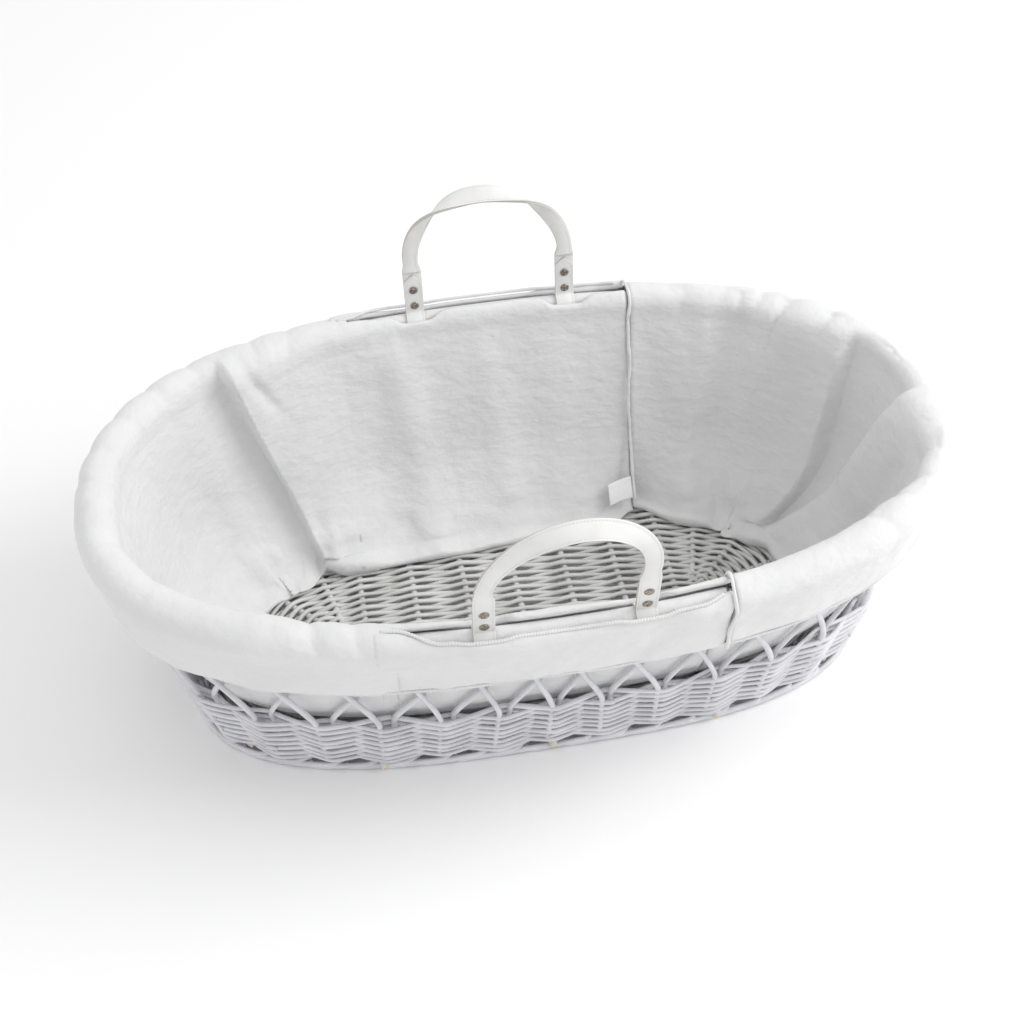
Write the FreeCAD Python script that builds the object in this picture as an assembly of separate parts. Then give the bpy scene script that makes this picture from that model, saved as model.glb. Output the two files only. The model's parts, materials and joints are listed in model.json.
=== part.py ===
"""Wicker Moses basket with a padded cotton liner and two leather strap handles.

The basket stands on its foot border.  Origin: centre of the underside.
+X runs along the basket towards the foot end, +Y to the back, +Z up.  Millimetres.
"""
import FreeCAD, Part
import math
import os

V = FreeCAD.Vector

# ---- basket shape -------------------------------------------------------------------------
RIM_HALF_LENGTH = 405.0
RIM_HALF_WIDTH = 219.0
RIM_HEIGHT = 262.0
BASE_HALF_LENGTH = 346.0
BASE_HALF_WIDTH = 158.0
RIM_SQUARENESS = 2.4        # exponent of the oval: 2 is an ellipse, more is squarer
BASE_SQUARENESS = 3.0

# ---- wicker -------------------------------------------------------------------------------
STICK_PITCH = 57.0
STICKS_EACH_SIDE = 3
FAN_STICKS = 6              # sticks that fan out at each end of the base
FAN_STEP = 30.0             # degrees between them
FAN_START = 16.0            # from the end of the floor's spine
FAN_REACH = 4.0             # past the middle of the foot border
STICK_RADIUS = 3.5
STICK_HEIGHT = 12.0
FLOOR_BOTTOM = 5.5
FLOOR_TOP = 20.0
FOOT_TOP = 27.5
FOOT_HALF_THICKNESS = 8.0
LOWER_WEAVE_BOTTOM = 28.0
LOWER_WEAVE_TOP = 100.0
LOWER_WEAVE_HALF_THICKNESS = 6.5
UPPER_WEAVE_BOTTOM = 199.0
UPPER_WEAVE_TOP = 249.0
UPPER_WEAVE_HALF_THICKNESS = 5.0
STAKE_RADIUS = 2.8
STAKE_LAYER = 3.3           # the left-leaning stakes lie outside, the right-leaning ones inside
STAKE_SPACING = 57.0
STAKE_FOOT = 17.0           # just above the base sticks
STAKE_TOP = 248.0
LEAN_LEFT = 0.60            # sideways run of a stake over the open band, in stake spacings
LEAN_RIGHT = 0.90
PAIR_SPLIT = 0.10           # half the gap between the two stakes of a pair, in spacings
RIM_ROD_RADIUS = 3.2
RIM_RODS = [(-3.4, -2.1), (3.4, -2.1), (0.0, 3.9)]

# ---- liner --------------------------------------------------------------------------------
SEAM_X = 150.0              # sewn seam at the foot end of each handle slot
FOLD_X = -168.0             # head end of each handle slot
SEAM_GAP = 0.7
LINER_BOTTOM = FLOOR_TOP + 0.5
LINER_TOP = 250.0
WADDING_OUTSIDE = -8.2
WADDING_INSIDE = -13.0
COTTON_OUTSIDE = -13.3
COTTON_INSIDE = -15.2
HANG_HEIGHT = 120.0         # below this the panels hang free of the wall
HANG_INSET = 36.0           # how far their feet stand in from it
FLOOR_TAIL = 18.0
TAIL_THICKNESS = 3.5
ROLL_OUTER_RADIUS = 16.8
ROLL_INNER_RADIUS = 8.6
SLOT_OUTER_RADIUS = 17.2
SLOT_INNER_RADIUS = 12.8
ROLL_LOW_ANGLE = -20.0      # angles about the rim, from level outside, over the top
LIP_ANGLE = 150.0
FLAP_ANGLE = 40.0
BINDING_ANGLE = 45.0
SKIRT_INSIDE = 8.8
SKIRT_OUTSIDE = 15.4
SKIRT_BOTTOM = 193.0
SKIRT_TOP = 254.0
HEM_BOTTOM = 187.5
PIPING_RADIUS = 1.6
PIPING_GAP = 0.8
PIPING_BOTTOM = 30.0
LABEL_WIDTH = 28.0
LABEL_HEIGHT = 20.0
LABEL_THICKNESS = 0.8
LABEL_BOTTOM = 46.0

# ---- handles: what differs between the front and the back one -------------------------------
HANDLE_CENTER = {"front": 0.0, "back": 5.0}
HANDLE_HALF_SPACING = {"front": 71.0, "back": 80.0}
HANDLE_LEAN = {"front": 8.0, "back": 5.0}           # degrees outward at rest
CROWN_SHIFT = {"front": 10.0, "back": -5.0}         # sideways, of the top of the arch
CROWN_TWIST = {"front": 32.0, "back": -45.0}        # 90 faces straight outward, 0 straight up
TWIST_POWER = {"front": 2, "back": 3}               # how late the twist comes above the feet

# ---- handles: sizes they share ----------------------------------------------------------------
FOOT_WIDTH = 19.5
STRAP_THICKNESS = 2.0
LINING_THICKNESS = 1.4
LAYER_GAP = 0.1             # half the gap between the two layers at a foot
LOOP_INNER_RADIUS = 8.7
PINCH_HEIGHT = 12.0
LEG_TOP = 59.0
TAB_SHOULDER = 48.0
TAB_TIP = 57.0
ARCH_TUCK = 1.0             # how much narrower the arch is than its feet, each side
ARCH_SPRING = 70.0          # height where the legs turn into the arch
ARCH_TOP = 141.0
NECK_WIDTH = 6.2            # from the strap's middle line to its inner edge above the neck
CROWN_WIDTH = 9.2
RIVET_HEIGHTS = [20.0, 39.0]
RIVET_RADIUS = 2.0
RIVET_HEAD_RADIUS = 4.6
RIVET_HEAD_THICKNESS = 1.6
RIVET_CLEARANCE = 0.05


def save(name, solids):
    """Write one named sub-part."""
    shape = solids[0] if len(solids) == 1 else Part.makeCompound(solids)
    assert shape.isValid(), name
    shape.exportStep("parts/" + name + ".step")


# ---- outlines -----------------------------------------------------------------------------
def wall_size(z):
    """Half length, half width and squareness of the wall's middle surface at a height."""
    share = min(z / RIM_HEIGHT, 1.0)
    return (BASE_HALF_LENGTH + (RIM_HALF_LENGTH - BASE_HALF_LENGTH) * share,
            BASE_HALF_WIDTH + (RIM_HALF_WIDTH - BASE_HALF_WIDTH) * share,
            BASE_SQUARENESS + (RIM_SQUARENESS - BASE_SQUARENESS) * share)


def wall_point(angle, offset, z):
    """Point at an oval's running angle, moved outward from the wall's middle surface."""
    half_length, half_width, squareness = wall_size(z)
    c = math.cos(angle)
    s = math.sin(angle)
    return V(math.copysign(abs(c) ** (2 / squareness), c) * (half_length + offset),
             math.copysign(abs(s) ** (2 / squareness), s) * (half_width + offset), z)


def wall_y(x, offset, z):
    """Distance of the offset wall from the X axis, at x."""
    half_length, half_width, squareness = wall_size(z)
    share = abs(x) / (half_length + offset)
    return (half_width + offset) * (1 - share ** squareness) ** (1 / squareness)


def oval(offset, z, points=48, arcs=4):
    """Closed outline of the wall at a height, moved outward by offset, in quarter arcs."""
    corners = [wall_point(2 * math.pi * i / points, offset, z) for i in range(points)]
    curve = Part.BSplineCurve()
    curve.interpolate(corners, True)
    joins = [curve.parameter(corners[i * points // arcs]) for i in range(1, arcs)]
    joins = [curve.FirstParameter] + joins + [curve.LastParameter]
    return Part.Wire([curve.toShape(low, high) for low, high in zip(joins, joins[1:])])


def ring(section):
    """Closed band with the given section: (offset, height) corners in order."""
    shell = Part.makeLoft([oval(offset, z) for offset, z in section], False, True, True)
    solid = Part.Solid(Part.Shell(shell.Faces))
    if solid.Volume < 0:
        solid.reverse()
    return solid


def plate(offset, bottom, top):
    """Solid oval between two heights."""
    return Part.makeLoft([oval(offset, bottom), oval(offset, top)], True, True)


def band(inside, outside, bottom, top):
    """Ring of rectangular section, flat at its top and bottom."""
    beyond = 1.0
    return plate(outside, bottom, top).cut(plate(inside, bottom - beyond, top + beyond)).Solids[0]


def about_rim(radius, angle):
    """(offset, height) of a point at a polar angle about the rim's centre line."""
    return (radius * math.cos(math.radians(angle)),
            RIM_HEIGHT + radius * math.sin(math.radians(angle)))


def curl(outer_radius, inner_radius, first, last, steps):
    """Section of a padded curl over the rim between two polar angles."""
    angles = [first + (last - first) * i / steps for i in range(steps + 1)]
    outer = [about_rim(outer_radius, angle) for angle in angles]
    inner = [about_rim(inner_radius, angle) for angle in reversed(angles)]
    return outer + inner


# ---- the liner's panels ---------------------------------------------------------------------
def cell(low_x, high_x, low_y, high_y):
    """Tall box that keeps one stretch of a ring."""
    return Part.makeBox(high_x - low_x, high_y - low_y, 400, V(low_x, low_y, -50))


FAR = 600.0
FRONT_CELL = cell(FOLD_X + SEAM_GAP, SEAM_X - SEAM_GAP, -FAR, 0)
BACK_CELL = cell(FOLD_X + SEAM_GAP, SEAM_X - SEAM_GAP, 0, FAR)
HEAD_CELL = cell(-FAR, FOLD_X - SEAM_GAP, -FAR, FAR)
FOOT_CELL = cell(SEAM_X + SEAM_GAP, FAR, -FAR, FAR)
CELLS = {"front": FRONT_CELL, "back": BACK_CELL, "head": HEAD_CELL, "foot": FOOT_CELL}


def stretch(solid, place):
    """The part of a ring that lies at the front, back, head or foot."""
    return solid.common(CELLS[place]).Solids


# ---- wicker -------------------------------------------------------------------------------
def rod(points, radius):
    """Round rod through the points, with a slightly larger ball at each bend."""
    pieces = []
    knuckle = 1.01 * radius
    for start, end in zip(points, points[1:]):
        pieces.append(Part.makeCylinder(radius, (end - start).Length, start, end - start))
    pieces += [Part.makeSphere(knuckle, point) for point in points[1:-1]]
    return pieces[0].multiFuse(pieces[1:]).removeSplitter() if len(pieces) > 1 else pieces[0]


def base_sticks():
    """Sticks across the base; the middle one and every third from it show their cut ends."""
    sticks = []
    for number in range(-STICKS_EACH_SIDE, STICKS_EACH_SIDE + 1):
        x = number * STICK_PITCH
        reach = FOOT_HALF_THICKNESS + 3 if number % 3 == 0 else FOOT_HALF_THICKNESS - 4
        half = wall_y(x, reach, STICK_HEIGHT)
        sticks.append(Part.makeCylinder(STICK_RADIUS, 2 * half, V(x, -half, STICK_HEIGHT), V(0, 1, 0)))
    return sticks


def inside_oval(point, offset):
    """Whether a point at stick height lies inside the wall moved outward by offset."""
    half_length, half_width, squareness = wall_size(STICK_HEIGHT)
    share = abs(point.x) / (half_length + offset)
    return share ** squareness + (abs(point.y) / (half_width + offset)) ** squareness < 1


def fan_stick(end, turn):
    """Stick that leaves one end of the floor's spine at an angle and stops in the foot border."""
    hub = V(end * (BASE_HALF_LENGTH - BASE_HALF_WIDTH), 0, STICK_HEIGHT)
    way = V(end * math.cos(turn), math.sin(turn), 0)
    length = FAN_START
    while inside_oval(hub + way * length, FAN_REACH):
        length += 0.5
    return Part.makeCylinder(STICK_RADIUS, length - FAN_START, hub + way * FAN_START, way)


def fan_sticks():
    """The sticks that fan out at both ends of the base."""
    turns = [math.radians(FAN_STEP * (number - (FAN_STICKS - 1) / 2)) for number in range(FAN_STICKS)]
    return [fan_stick(end, turn) for end in (-1, 1) for turn in turns]


def base_floor():
    """Woven floor as one oval plate that fills the foot border."""
    return plate(-FOOT_HALF_THICKNESS - 0.4, FLOOR_BOTTOM, FLOOR_TOP)


def stake_angles():
    """Running angles that put the stakes at equal spacing, with one at the middle of each side."""
    samples = 3600
    angles = [2 * math.pi * i / samples for i in range(samples + 1)]
    points = [wall_point(angle, 0, 0) for angle in angles]
    lengths = [0.0]
    for here, there in zip(points, points[1:]):
        lengths.append(lengths[-1] + (there - here).Length)
    count = 4 * round(lengths[-1] / STAKE_SPACING / 4)
    stations = []
    for number in range(count):
        target = number * lengths[-1] / count
        stations.append(angles[next(i for i, length in enumerate(lengths) if length >= target)])
    return stations


STATIONS = stake_angles()


def station_angle(number):
    """Running angle at a station number that may lie between two stakes."""
    whole = math.floor(number)
    count = len(STATIONS)
    low = STATIONS[whole % count] + 2 * math.pi * (whole // count)
    high = STATIONS[(whole + 1) % count] + 2 * math.pi * ((whole + 1) // count)
    return low + (high - low) * (number - whole)


def stake(number, side, lean, layer):
    """One stake: upright in the lower weave, leaning through the open band, upright again."""
    start = number + side * PAIR_SPLIT
    end = start + side * lean
    middle = (LOWER_WEAVE_TOP + UPPER_WEAVE_BOTTOM) / 2
    route = [(start, STAKE_FOOT), (start, LOWER_WEAVE_TOP), ((start + end) / 2, middle),
             (end, UPPER_WEAVE_BOTTOM), (end, STAKE_TOP)]
    return rod([wall_point(station_angle(place), layer, z) for place, z in route], STAKE_RADIUS)


def stakes(side, lean, layer):
    """All the stakes that lean one way."""
    return [stake(number, side, lean, layer) for number in range(len(STATIONS))]


def rim_rods():
    """Three thick rods, one above two, that run round under the liner's roll."""
    rods = []
    sides = 8
    for offset, height in RIM_RODS:
        turns = [math.radians(45 / 2 + 360 / sides * i) for i in range(sides)]
        rods.append(ring([(offset + RIM_ROD_RADIUS * math.cos(turn),
                           RIM_HEIGHT + height + RIM_ROD_RADIUS * math.sin(turn)) for turn in turns]))
    return rods


def make_wicker():
    save("base_cross_sticks", base_sticks() + fan_sticks())
    save("base_weave", [base_floor()])
    save("foot_border", [band(-FOOT_HALF_THICKNESS, FOOT_HALF_THICKNESS, 0, FOOT_TOP)])
    save("lower_weave", [band(-LOWER_WEAVE_HALF_THICKNESS, LOWER_WEAVE_HALF_THICKNESS,
                              LOWER_WEAVE_BOTTOM, LOWER_WEAVE_TOP)])
    save("upper_weave", [band(-UPPER_WEAVE_HALF_THICKNESS, UPPER_WEAVE_HALF_THICKNESS,
                              UPPER_WEAVE_BOTTOM, UPPER_WEAVE_TOP)])
    save("stakes_leaning_left", stakes(-1, LEAN_LEFT, STAKE_LAYER))
    save("stakes_leaning_right", stakes(1, LEAN_RIGHT, -STAKE_LAYER))
    save("rim_rods", rim_rods())


# ---- liner --------------------------------------------------------------------------------
def cotton_ring():
    """Cotton face of the inner wall, with the tail that lies on the floor."""
    foot = COTTON_INSIDE - HANG_INSET
    tail = foot - FLOOR_TAIL
    return ring([(tail, LINER_BOTTOM), (COTTON_OUTSIDE - HANG_INSET, LINER_BOTTOM),
                 (COTTON_OUTSIDE, HANG_HEIGHT), (COTTON_OUTSIDE, LINER_TOP),
                 (COTTON_INSIDE, LINER_TOP), (COTTON_INSIDE, HANG_HEIGHT),
                 (foot, LINER_BOTTOM + 1.5 * TAIL_THICKNESS), (tail, LINER_BOTTOM + TAIL_THICKNESS)])


def wadding_ring():
    """Wadding behind the cotton, which follows its slope."""
    return ring([(WADDING_OUTSIDE - HANG_INSET, LINER_BOTTOM), (WADDING_OUTSIDE, HANG_HEIGHT),
                 (WADDING_OUTSIDE, LINER_TOP), (WADDING_INSIDE, LINER_TOP),
                 (WADDING_INSIDE, HANG_HEIGHT), (WADDING_INSIDE - HANG_INSET, LINER_BOTTOM)])


def cotton_face(z):
    """Offset of the cotton's visible face at a height on its sloping part."""
    foot = LINER_BOTTOM + 1.5 * TAIL_THICKNESS
    return COTTON_INSIDE - HANG_INSET * (HANG_HEIGHT - z) / (HANG_HEIGHT - foot)


def flap_ring():
    """Outer flap of a slot: the skirt and its short curl towards the rim."""
    steps = 3
    rise = (FLAP_ANGLE - ROLL_LOW_ANGLE) / steps
    angles = [ROLL_LOW_ANGLE + rise * i for i in range(steps + 1)]
    outside = [about_rim(SLOT_OUTER_RADIUS, angle) for angle in angles]
    inside = [about_rim(SLOT_INNER_RADIUS, angle) for angle in reversed(angles)]
    return ring([(SKIRT_INSIDE, SKIRT_BOTTOM), (SKIRT_OUTSIDE, SKIRT_BOTTOM),
                 (SKIRT_OUTSIDE, LINER_TOP)] + outside + inside + [(SKIRT_INSIDE, LINER_TOP)])


def piping(side):
    """Cord along a seam: up the inner wall, over the roll and down the skirt."""
    clear = PIPING_RADIUS + PIPING_GAP
    inner = COTTON_INSIDE - clear
    outer = SKIRT_OUTSIDE + PIPING_RADIUS + PIPING_GAP
    reach = SLOT_OUTER_RADIUS + PIPING_RADIUS + 1.4
    arc = [about_rim(reach, angle) for angle in (180, 150, 120, 90, 60, 30, 0)]
    slope = [(cotton_face(PIPING_BOTTOM) - clear, PIPING_BOTTOM), (inner, HANG_HEIGHT)]
    route = slope + [(inner, LINER_TOP - 10)] + arc + [(outer, LINER_TOP), (outer, HEM_BOTTOM)]
    return rod([V(SEAM_X, side * wall_y(SEAM_X, offset, z), z) for offset, z in route], PIPING_RADIUS)


def care_label():
    """Blank care label sewn into the back seam, flat on the inner wall."""
    right = SEAM_X - PIPING_RADIUS - 1
    left = right - LABEL_WIDTH
    clear = 1.4
    near = cotton_face(LABEL_BOTTOM) - clear
    foot = V(left, wall_y(left, near, LABEL_BOTTOM), LABEL_BOTTOM)
    along = V(right, wall_y(right, near, LABEL_BOTTOM), LABEL_BOTTOM) - foot
    top = LABEL_BOTTOM + LABEL_HEIGHT
    up = V(0, wall_y(left, cotton_face(top) - clear, top) - foot.y, LABEL_HEIGHT)
    outline = Part.makePolygon([foot, foot + along, foot + along + up, foot + up, foot])
    return Part.Face(outline).extrude(V(0, -LABEL_THICKNESS, 0))


def make_liner():
    cotton = cotton_ring()
    wadding = wadding_ring()
    for place in CELLS:
        save(place + "_panel", stretch(cotton, place))
        save(place + "_wadding", stretch(wadding, place))
    roll = ring(curl(ROLL_OUTER_RADIUS, ROLL_INNER_RADIUS, ROLL_LOW_ANGLE, 180 - ROLL_LOW_ANGLE, 10))
    skirt = band(SKIRT_INSIDE, SKIRT_OUTSIDE, SKIRT_BOTTOM, SKIRT_TOP)
    for place in ("head", "foot"):
        save(place + "_roll", stretch(roll, place))
        save(place + "_skirt", stretch(skirt, place))
    lip = ring(curl(SLOT_OUTER_RADIUS, SLOT_INNER_RADIUS, LIP_ANGLE, 180 - ROLL_LOW_ANGLE, 3))
    flap = flap_ring()
    binding = ring(curl(SLOT_OUTER_RADIUS + 0.3, SLOT_INNER_RADIUS - 0.1, FLAP_ANGLE + 1, BINDING_ANGLE, 1))
    for place, side in (("front", -1), ("back", 1)):
        save(place + "_slot_lip", stretch(lip, place))
        save(place + "_slot_flap", stretch(flap, place))
        save(place + "_slot_binding", stretch(binding, place))
        save(place + "_seam_piping", [piping(side)])
    save("hem_binding", [band(SKIRT_INSIDE - 0.5, SKIRT_OUTSIDE + 0.1, HEM_BOTTOM, SKIRT_BOTTOM - 0.3)])
    save("care_label", [care_label()])


# ---- handles, built upright about the rim, outer face towards -Y -------------------------------
def foot_loop(x):
    """One foot: down outside, under the rim and up inside to a pointed tab."""
    outer = LOOP_INNER_RADIUS + STRAP_THICKNESS
    face = LAYER_GAP + STRAP_THICKNESS
    lean = math.atan2(face, PINCH_HEIGHT) + math.acos(outer / math.hypot(face, PINCH_HEIGHT))
    s = math.sin(lean)
    c = math.cos(lean)
    inner_pinch = (LOOP_INNER_RADIUS - LAYER_GAP * s) / c

    def at(y, z):
        return V(x - FOOT_WIDTH / 2, y, z)

    def line(start, end):
        return Part.LineSegment(start, end).toShape()

    def arc(radius, first, last):
        return Part.Arc(first, at(0, -radius), last).toShape()

    outer_left = at(-outer * s, outer * c)
    outer_right = at(outer * s, outer * c)
    inner_left = at(-LOOP_INNER_RADIUS * s, LOOP_INNER_RADIUS * c)
    inner_right = at(LOOP_INNER_RADIUS * s, LOOP_INNER_RADIUS * c)
    edges = [line(at(-face, LEG_TOP), at(-face, PINCH_HEIGHT)),
             line(at(-face, PINCH_HEIGHT), outer_left),
             arc(outer, outer_left, outer_right),
             line(outer_right, at(face, PINCH_HEIGHT)),
             line(at(face, PINCH_HEIGHT), at(face, TAB_TIP)),
             line(at(face, TAB_TIP), at(LAYER_GAP, TAB_TIP)),
             line(at(LAYER_GAP, TAB_TIP), at(LAYER_GAP, inner_pinch)),
             line(at(LAYER_GAP, inner_pinch), inner_right),
             arc(LOOP_INNER_RADIUS, inner_right, inner_left),
             line(inner_left, at(-LAYER_GAP, inner_pinch)),
             line(at(-LAYER_GAP, inner_pinch), at(-LAYER_GAP, LEG_TOP)),
             line(at(-LAYER_GAP, LEG_TOP), at(-face, LEG_TOP))]
    loop = Part.Face(Part.Wire(edges)).extrude(V(FOOT_WIDTH, 0, 0))
    for side in (-1, 1):
        edge = x + side * (FOOT_WIDTH / 2 + 1)
        corner = [V(edge, 0, TAB_SHOULDER - 1), V(x, 0, TAB_TIP), V(x, 0, TAB_TIP + 2), V(edge, 0, TAB_TIP + 2)]
        wedge = Part.Face(Part.makePolygon(corner + [corner[0]])).extrude(V(0, 2 * STRAP_THICKNESS, 0))
        loop = loop.cut(wedge)
    return loop


def arch_stations(place, steps):
    """Places along the strap: point, direction out of the arch in its plane, and rise 0 to 1."""
    half = HANDLE_HALF_SPACING[place] - ARCH_TUCK
    height = ARCH_TOP - ARCH_SPRING
    stations = []
    for i in range(steps + 1):
        turn = math.pi * i / steps
        rise = math.sin(turn)
        x = -half * math.cos(turn) + CROWN_SHIFT[place] * rise
        along = V(half * rise + CROWN_SHIFT[place] * math.cos(turn), 0, height * math.cos(turn))
        normal = V(-along.z, 0, along.x)
        stations.append((V(x, 0, ARCH_SPRING + height * rise), normal.normalize(), rise))
    feet = [(V(side * HANDLE_HALF_SPACING[place], 0, LEG_TOP), V(side, 0, 0), 0.0) for side in (-1, 1)]
    return [feet[0]] + stations + [feet[1]]


def arch_layer(place, low, high):
    """Strap layer between two distances from the middle face, twisting from foot to crown."""
    sections = []
    places = arch_stations(place, 18)
    for number, (point, normal, turn) in enumerate(places):
        at_foot = number in (0, len(places) - 1)
        twist = math.radians(90 - (90 - CROWN_TWIST[place]) * turn ** TWIST_POWER[place])
        across = normal * math.sin(twist) + V(0, math.cos(twist), 0)
        face = normal * math.cos(twist) - V(0, math.sin(twist), 0)
        inner = FOOT_WIDTH / 2 if at_foot else NECK_WIDTH + (CROWN_WIDTH - NECK_WIDTH) * turn
        outer = FOOT_WIDTH / 2 if at_foot else CROWN_WIDTH
        corners = [point + across * outer + face * low, point + across * outer + face * high,
                   point - across * inner + face * high, point - across * inner + face * low]
        sections.append(Part.makePolygon(corners + [corners[0]]))
    return Part.makeLoft(sections, True, False)


def rivet_places(place):
    return [(side * HANDLE_HALF_SPACING[place], z) for side in (-1, 1) for z in RIVET_HEIGHTS]


def rivet_parts(place):
    """Rivets with their outer heads, and the caps that close them inside."""
    face = LAYER_GAP + STRAP_THICKNESS + RIVET_CLEARANCE
    rivets = []
    caps = []
    for x, z in rivet_places(place):
        head = Part.makeCylinder(RIVET_HEAD_RADIUS, RIVET_HEAD_THICKNESS, V(x, -face, z), V(0, -1, 0))
        edge = head.Edges[0] if head.Edges[0].CenterOfMass.y < -face - 1 else head.Edges[2]
        head = head.makeFillet(RIVET_HEAD_THICKNESS / 2, [edge])
        post = Part.makeCylinder(RIVET_RADIUS, 2 * face + RIVET_HEAD_THICKNESS / 2, V(x, -face, z), V(0, 1, 0))
        rivets.append(head.fuse(post))
        cap = Part.makeCylinder(RIVET_HEAD_RADIUS, RIVET_HEAD_THICKNESS, V(x, face, z), V(0, 1, 0))
        socket = Part.makeCylinder(RIVET_RADIUS + RIVET_CLEARANCE, RIVET_HEAD_THICKNESS / 2 + RIVET_CLEARANCE,
                                   V(x, face, z), V(0, 1, 0))
        caps.append(cap.cut(socket))
    return rivets, caps


def handle_parts(place):
    """Strap, lining, rivets and caps of one handle, by name."""
    strap = arch_layer(place, LAYER_GAP, LAYER_GAP + STRAP_THICKNESS)
    for side in (-1, 1):
        strap = strap.fuse(foot_loop(side * HANDLE_HALF_SPACING[place]))
    for x, z in rivet_places(place):
        reach = 2 * (LAYER_GAP + STRAP_THICKNESS)
        strap = strap.cut(Part.makeCylinder(RIVET_RADIUS + RIVET_CLEARANCE, 2 * reach, V(x, -reach, z), V(0, 1, 0)))
    lining = arch_layer(place, -LINING_THICKNESS, 0)
    rivets, caps = rivet_parts(place)
    return {"strap": [strap.removeSplitter()], "lining": [lining], "rivets": rivets, "rivet_caps": caps}


def place_handle(solid, place):
    """Lean a solid outward about the rim and set it at the front or the back."""
    placed = solid.copy()
    placed.rotate(V(0, 0, 0), V(1, 0, 0), HANDLE_LEAN[place])
    if place == "back":
        placed = placed.mirror(V(0, 0, 0), V(0, 1, 0))
    side = 1 if place == "back" else -1
    y = side * wall_y(HANDLE_CENTER[place] + HANDLE_HALF_SPACING[place], 0, RIM_HEIGHT)
    placed.translate(V(HANDLE_CENTER[place], y, RIM_HEIGHT))
    return placed


def make_handles():
    for place in ("front", "back"):
        for name, solids in handle_parts(place).items():
            save(place + "_handle_" + name, [place_handle(solid, place) for solid in solids])


os.makedirs("parts", exist_ok=True)
make_wicker()
make_liner()
make_handles()
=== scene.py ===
"""Looks of a wicker carry basket: woven rods, padded cotton liner, leather strap handles.

Metres, in the CAD frame: +X towards the foot end, +Y to the back, +Z up, floor at z = 0.
"""
import json
import math

import bpy
import numpy as np
from mathutils import Matrix, Vector


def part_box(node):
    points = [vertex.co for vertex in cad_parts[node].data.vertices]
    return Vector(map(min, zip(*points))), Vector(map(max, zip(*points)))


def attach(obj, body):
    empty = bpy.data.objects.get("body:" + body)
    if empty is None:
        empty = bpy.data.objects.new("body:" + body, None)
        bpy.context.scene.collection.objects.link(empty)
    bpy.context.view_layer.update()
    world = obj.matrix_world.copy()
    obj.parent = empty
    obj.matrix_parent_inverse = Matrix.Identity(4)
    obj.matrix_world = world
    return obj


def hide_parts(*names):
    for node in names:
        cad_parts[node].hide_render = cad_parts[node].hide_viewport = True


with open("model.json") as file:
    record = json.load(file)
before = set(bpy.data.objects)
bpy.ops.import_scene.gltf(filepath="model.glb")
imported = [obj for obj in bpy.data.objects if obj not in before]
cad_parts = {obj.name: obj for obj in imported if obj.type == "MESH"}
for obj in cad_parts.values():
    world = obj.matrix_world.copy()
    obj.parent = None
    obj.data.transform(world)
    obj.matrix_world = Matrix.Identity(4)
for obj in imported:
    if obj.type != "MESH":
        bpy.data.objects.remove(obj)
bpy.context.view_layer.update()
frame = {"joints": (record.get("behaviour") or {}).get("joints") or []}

# ---- driving sizes, read from the frame ----------------------------------------------------
MM = 0.001
JOINTS = {joint["name"]: joint for joint in frame["joints"]}
PIVOTS = {name: Vector(JOINTS[name + "_handle_swing"]["pos_m"]) for name in ("front", "back")}
RIM_Z = PIVOTS["front"].z
ROLL_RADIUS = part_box("head_roll")[1].z - RIM_Z
RIM_A = -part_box("head_roll")[0].x - ROLL_RADIUS
RIM_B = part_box("rim_rods")[1].y - (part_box("rim_rods")[1].x - RIM_A)
WEAVE_HALF = 6.5 * MM
WEAVE_LOW, WEAVE_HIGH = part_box("lower_weave")
UPPER_LOW, UPPER_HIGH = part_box("upper_weave")
FLARE = (RIM_A - (WEAVE_HIGH.x - WEAVE_HALF)) / (RIM_Z - WEAVE_HIGH.z)
BASE_A = RIM_A - FLARE * RIM_Z
FLARE_SIDE = (RIM_B - (WEAVE_HIGH.y - WEAVE_HALF)) / (RIM_Z - WEAVE_HIGH.z)
BASE_B = RIM_B - FLARE_SIDE * RIM_Z
RIM_N = 2.4  # power of the superellipse at the rim, and below it the one at the base
BASE_N = 3.0
FLOOR_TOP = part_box("base_weave")[1].z
HEM_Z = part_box("hem_binding")[0].z
SEAM_X = 150 * MM  # piped seam, at the foot end of each handle slot
FOLD_X = -168 * MM  # where the head end of the liner laps over the sides
STAKES = 32


# ---- small mathematics ----------------------------------------------------------------------
def smooth(x, low, high):
    t = np.clip((np.asarray(x, float) - low) / (high - low), 0, 1)
    return t * t * (3 - 2 * t)


def lerp(a, b, t):
    return a + (b - a) * t


def unit(v):
    return v / np.maximum(np.linalg.norm(v, axis=-1, keepdims=True), 1e-12)


HASH_X, HASH_Y, HASH_SEED, HASH_MIX = 374761393, 668265263, 974634777, 1274126177
WORD = 0xFFFFFFFF


def lattice(ix, iy, seed):
    """Repeatable random value from -1 to 1 at whole-number points."""
    h = (ix.astype(np.int64) * HASH_X + iy.astype(np.int64) * HASH_Y + seed * HASH_SEED) & WORD
    h = ((h ^ (h >> 13)) * HASH_MIX) & WORD
    return ((h ^ (h >> 16)) & 0xFFFF) / 32767.5 - 1


def quintic(t):
    return t * t * t * (t * (t * 6 - 15) + 10)


def noise(x, y, seed, wrap=None):
    """Smooth random field picked by seed; wrap is its period along x in whole cells."""
    x, y = np.broadcast_arrays(np.asarray(x, float), np.asarray(y, float))
    ix, iy = np.floor(x), np.floor(y)
    fx, fy = quintic(x - ix), quintic(y - iy)
    ix, iy = ix.astype(int), iy.astype(int)
    jx = ix + 1
    if wrap:
        ix, jx = ix % wrap, jx % wrap
    low = lerp(lattice(ix, iy, seed), lattice(jx, iy, seed), fx)
    high = lerp(lattice(ix, iy + 1, seed), lattice(jx, iy + 1, seed), fx)
    return lerp(low, high, fy)


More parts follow.
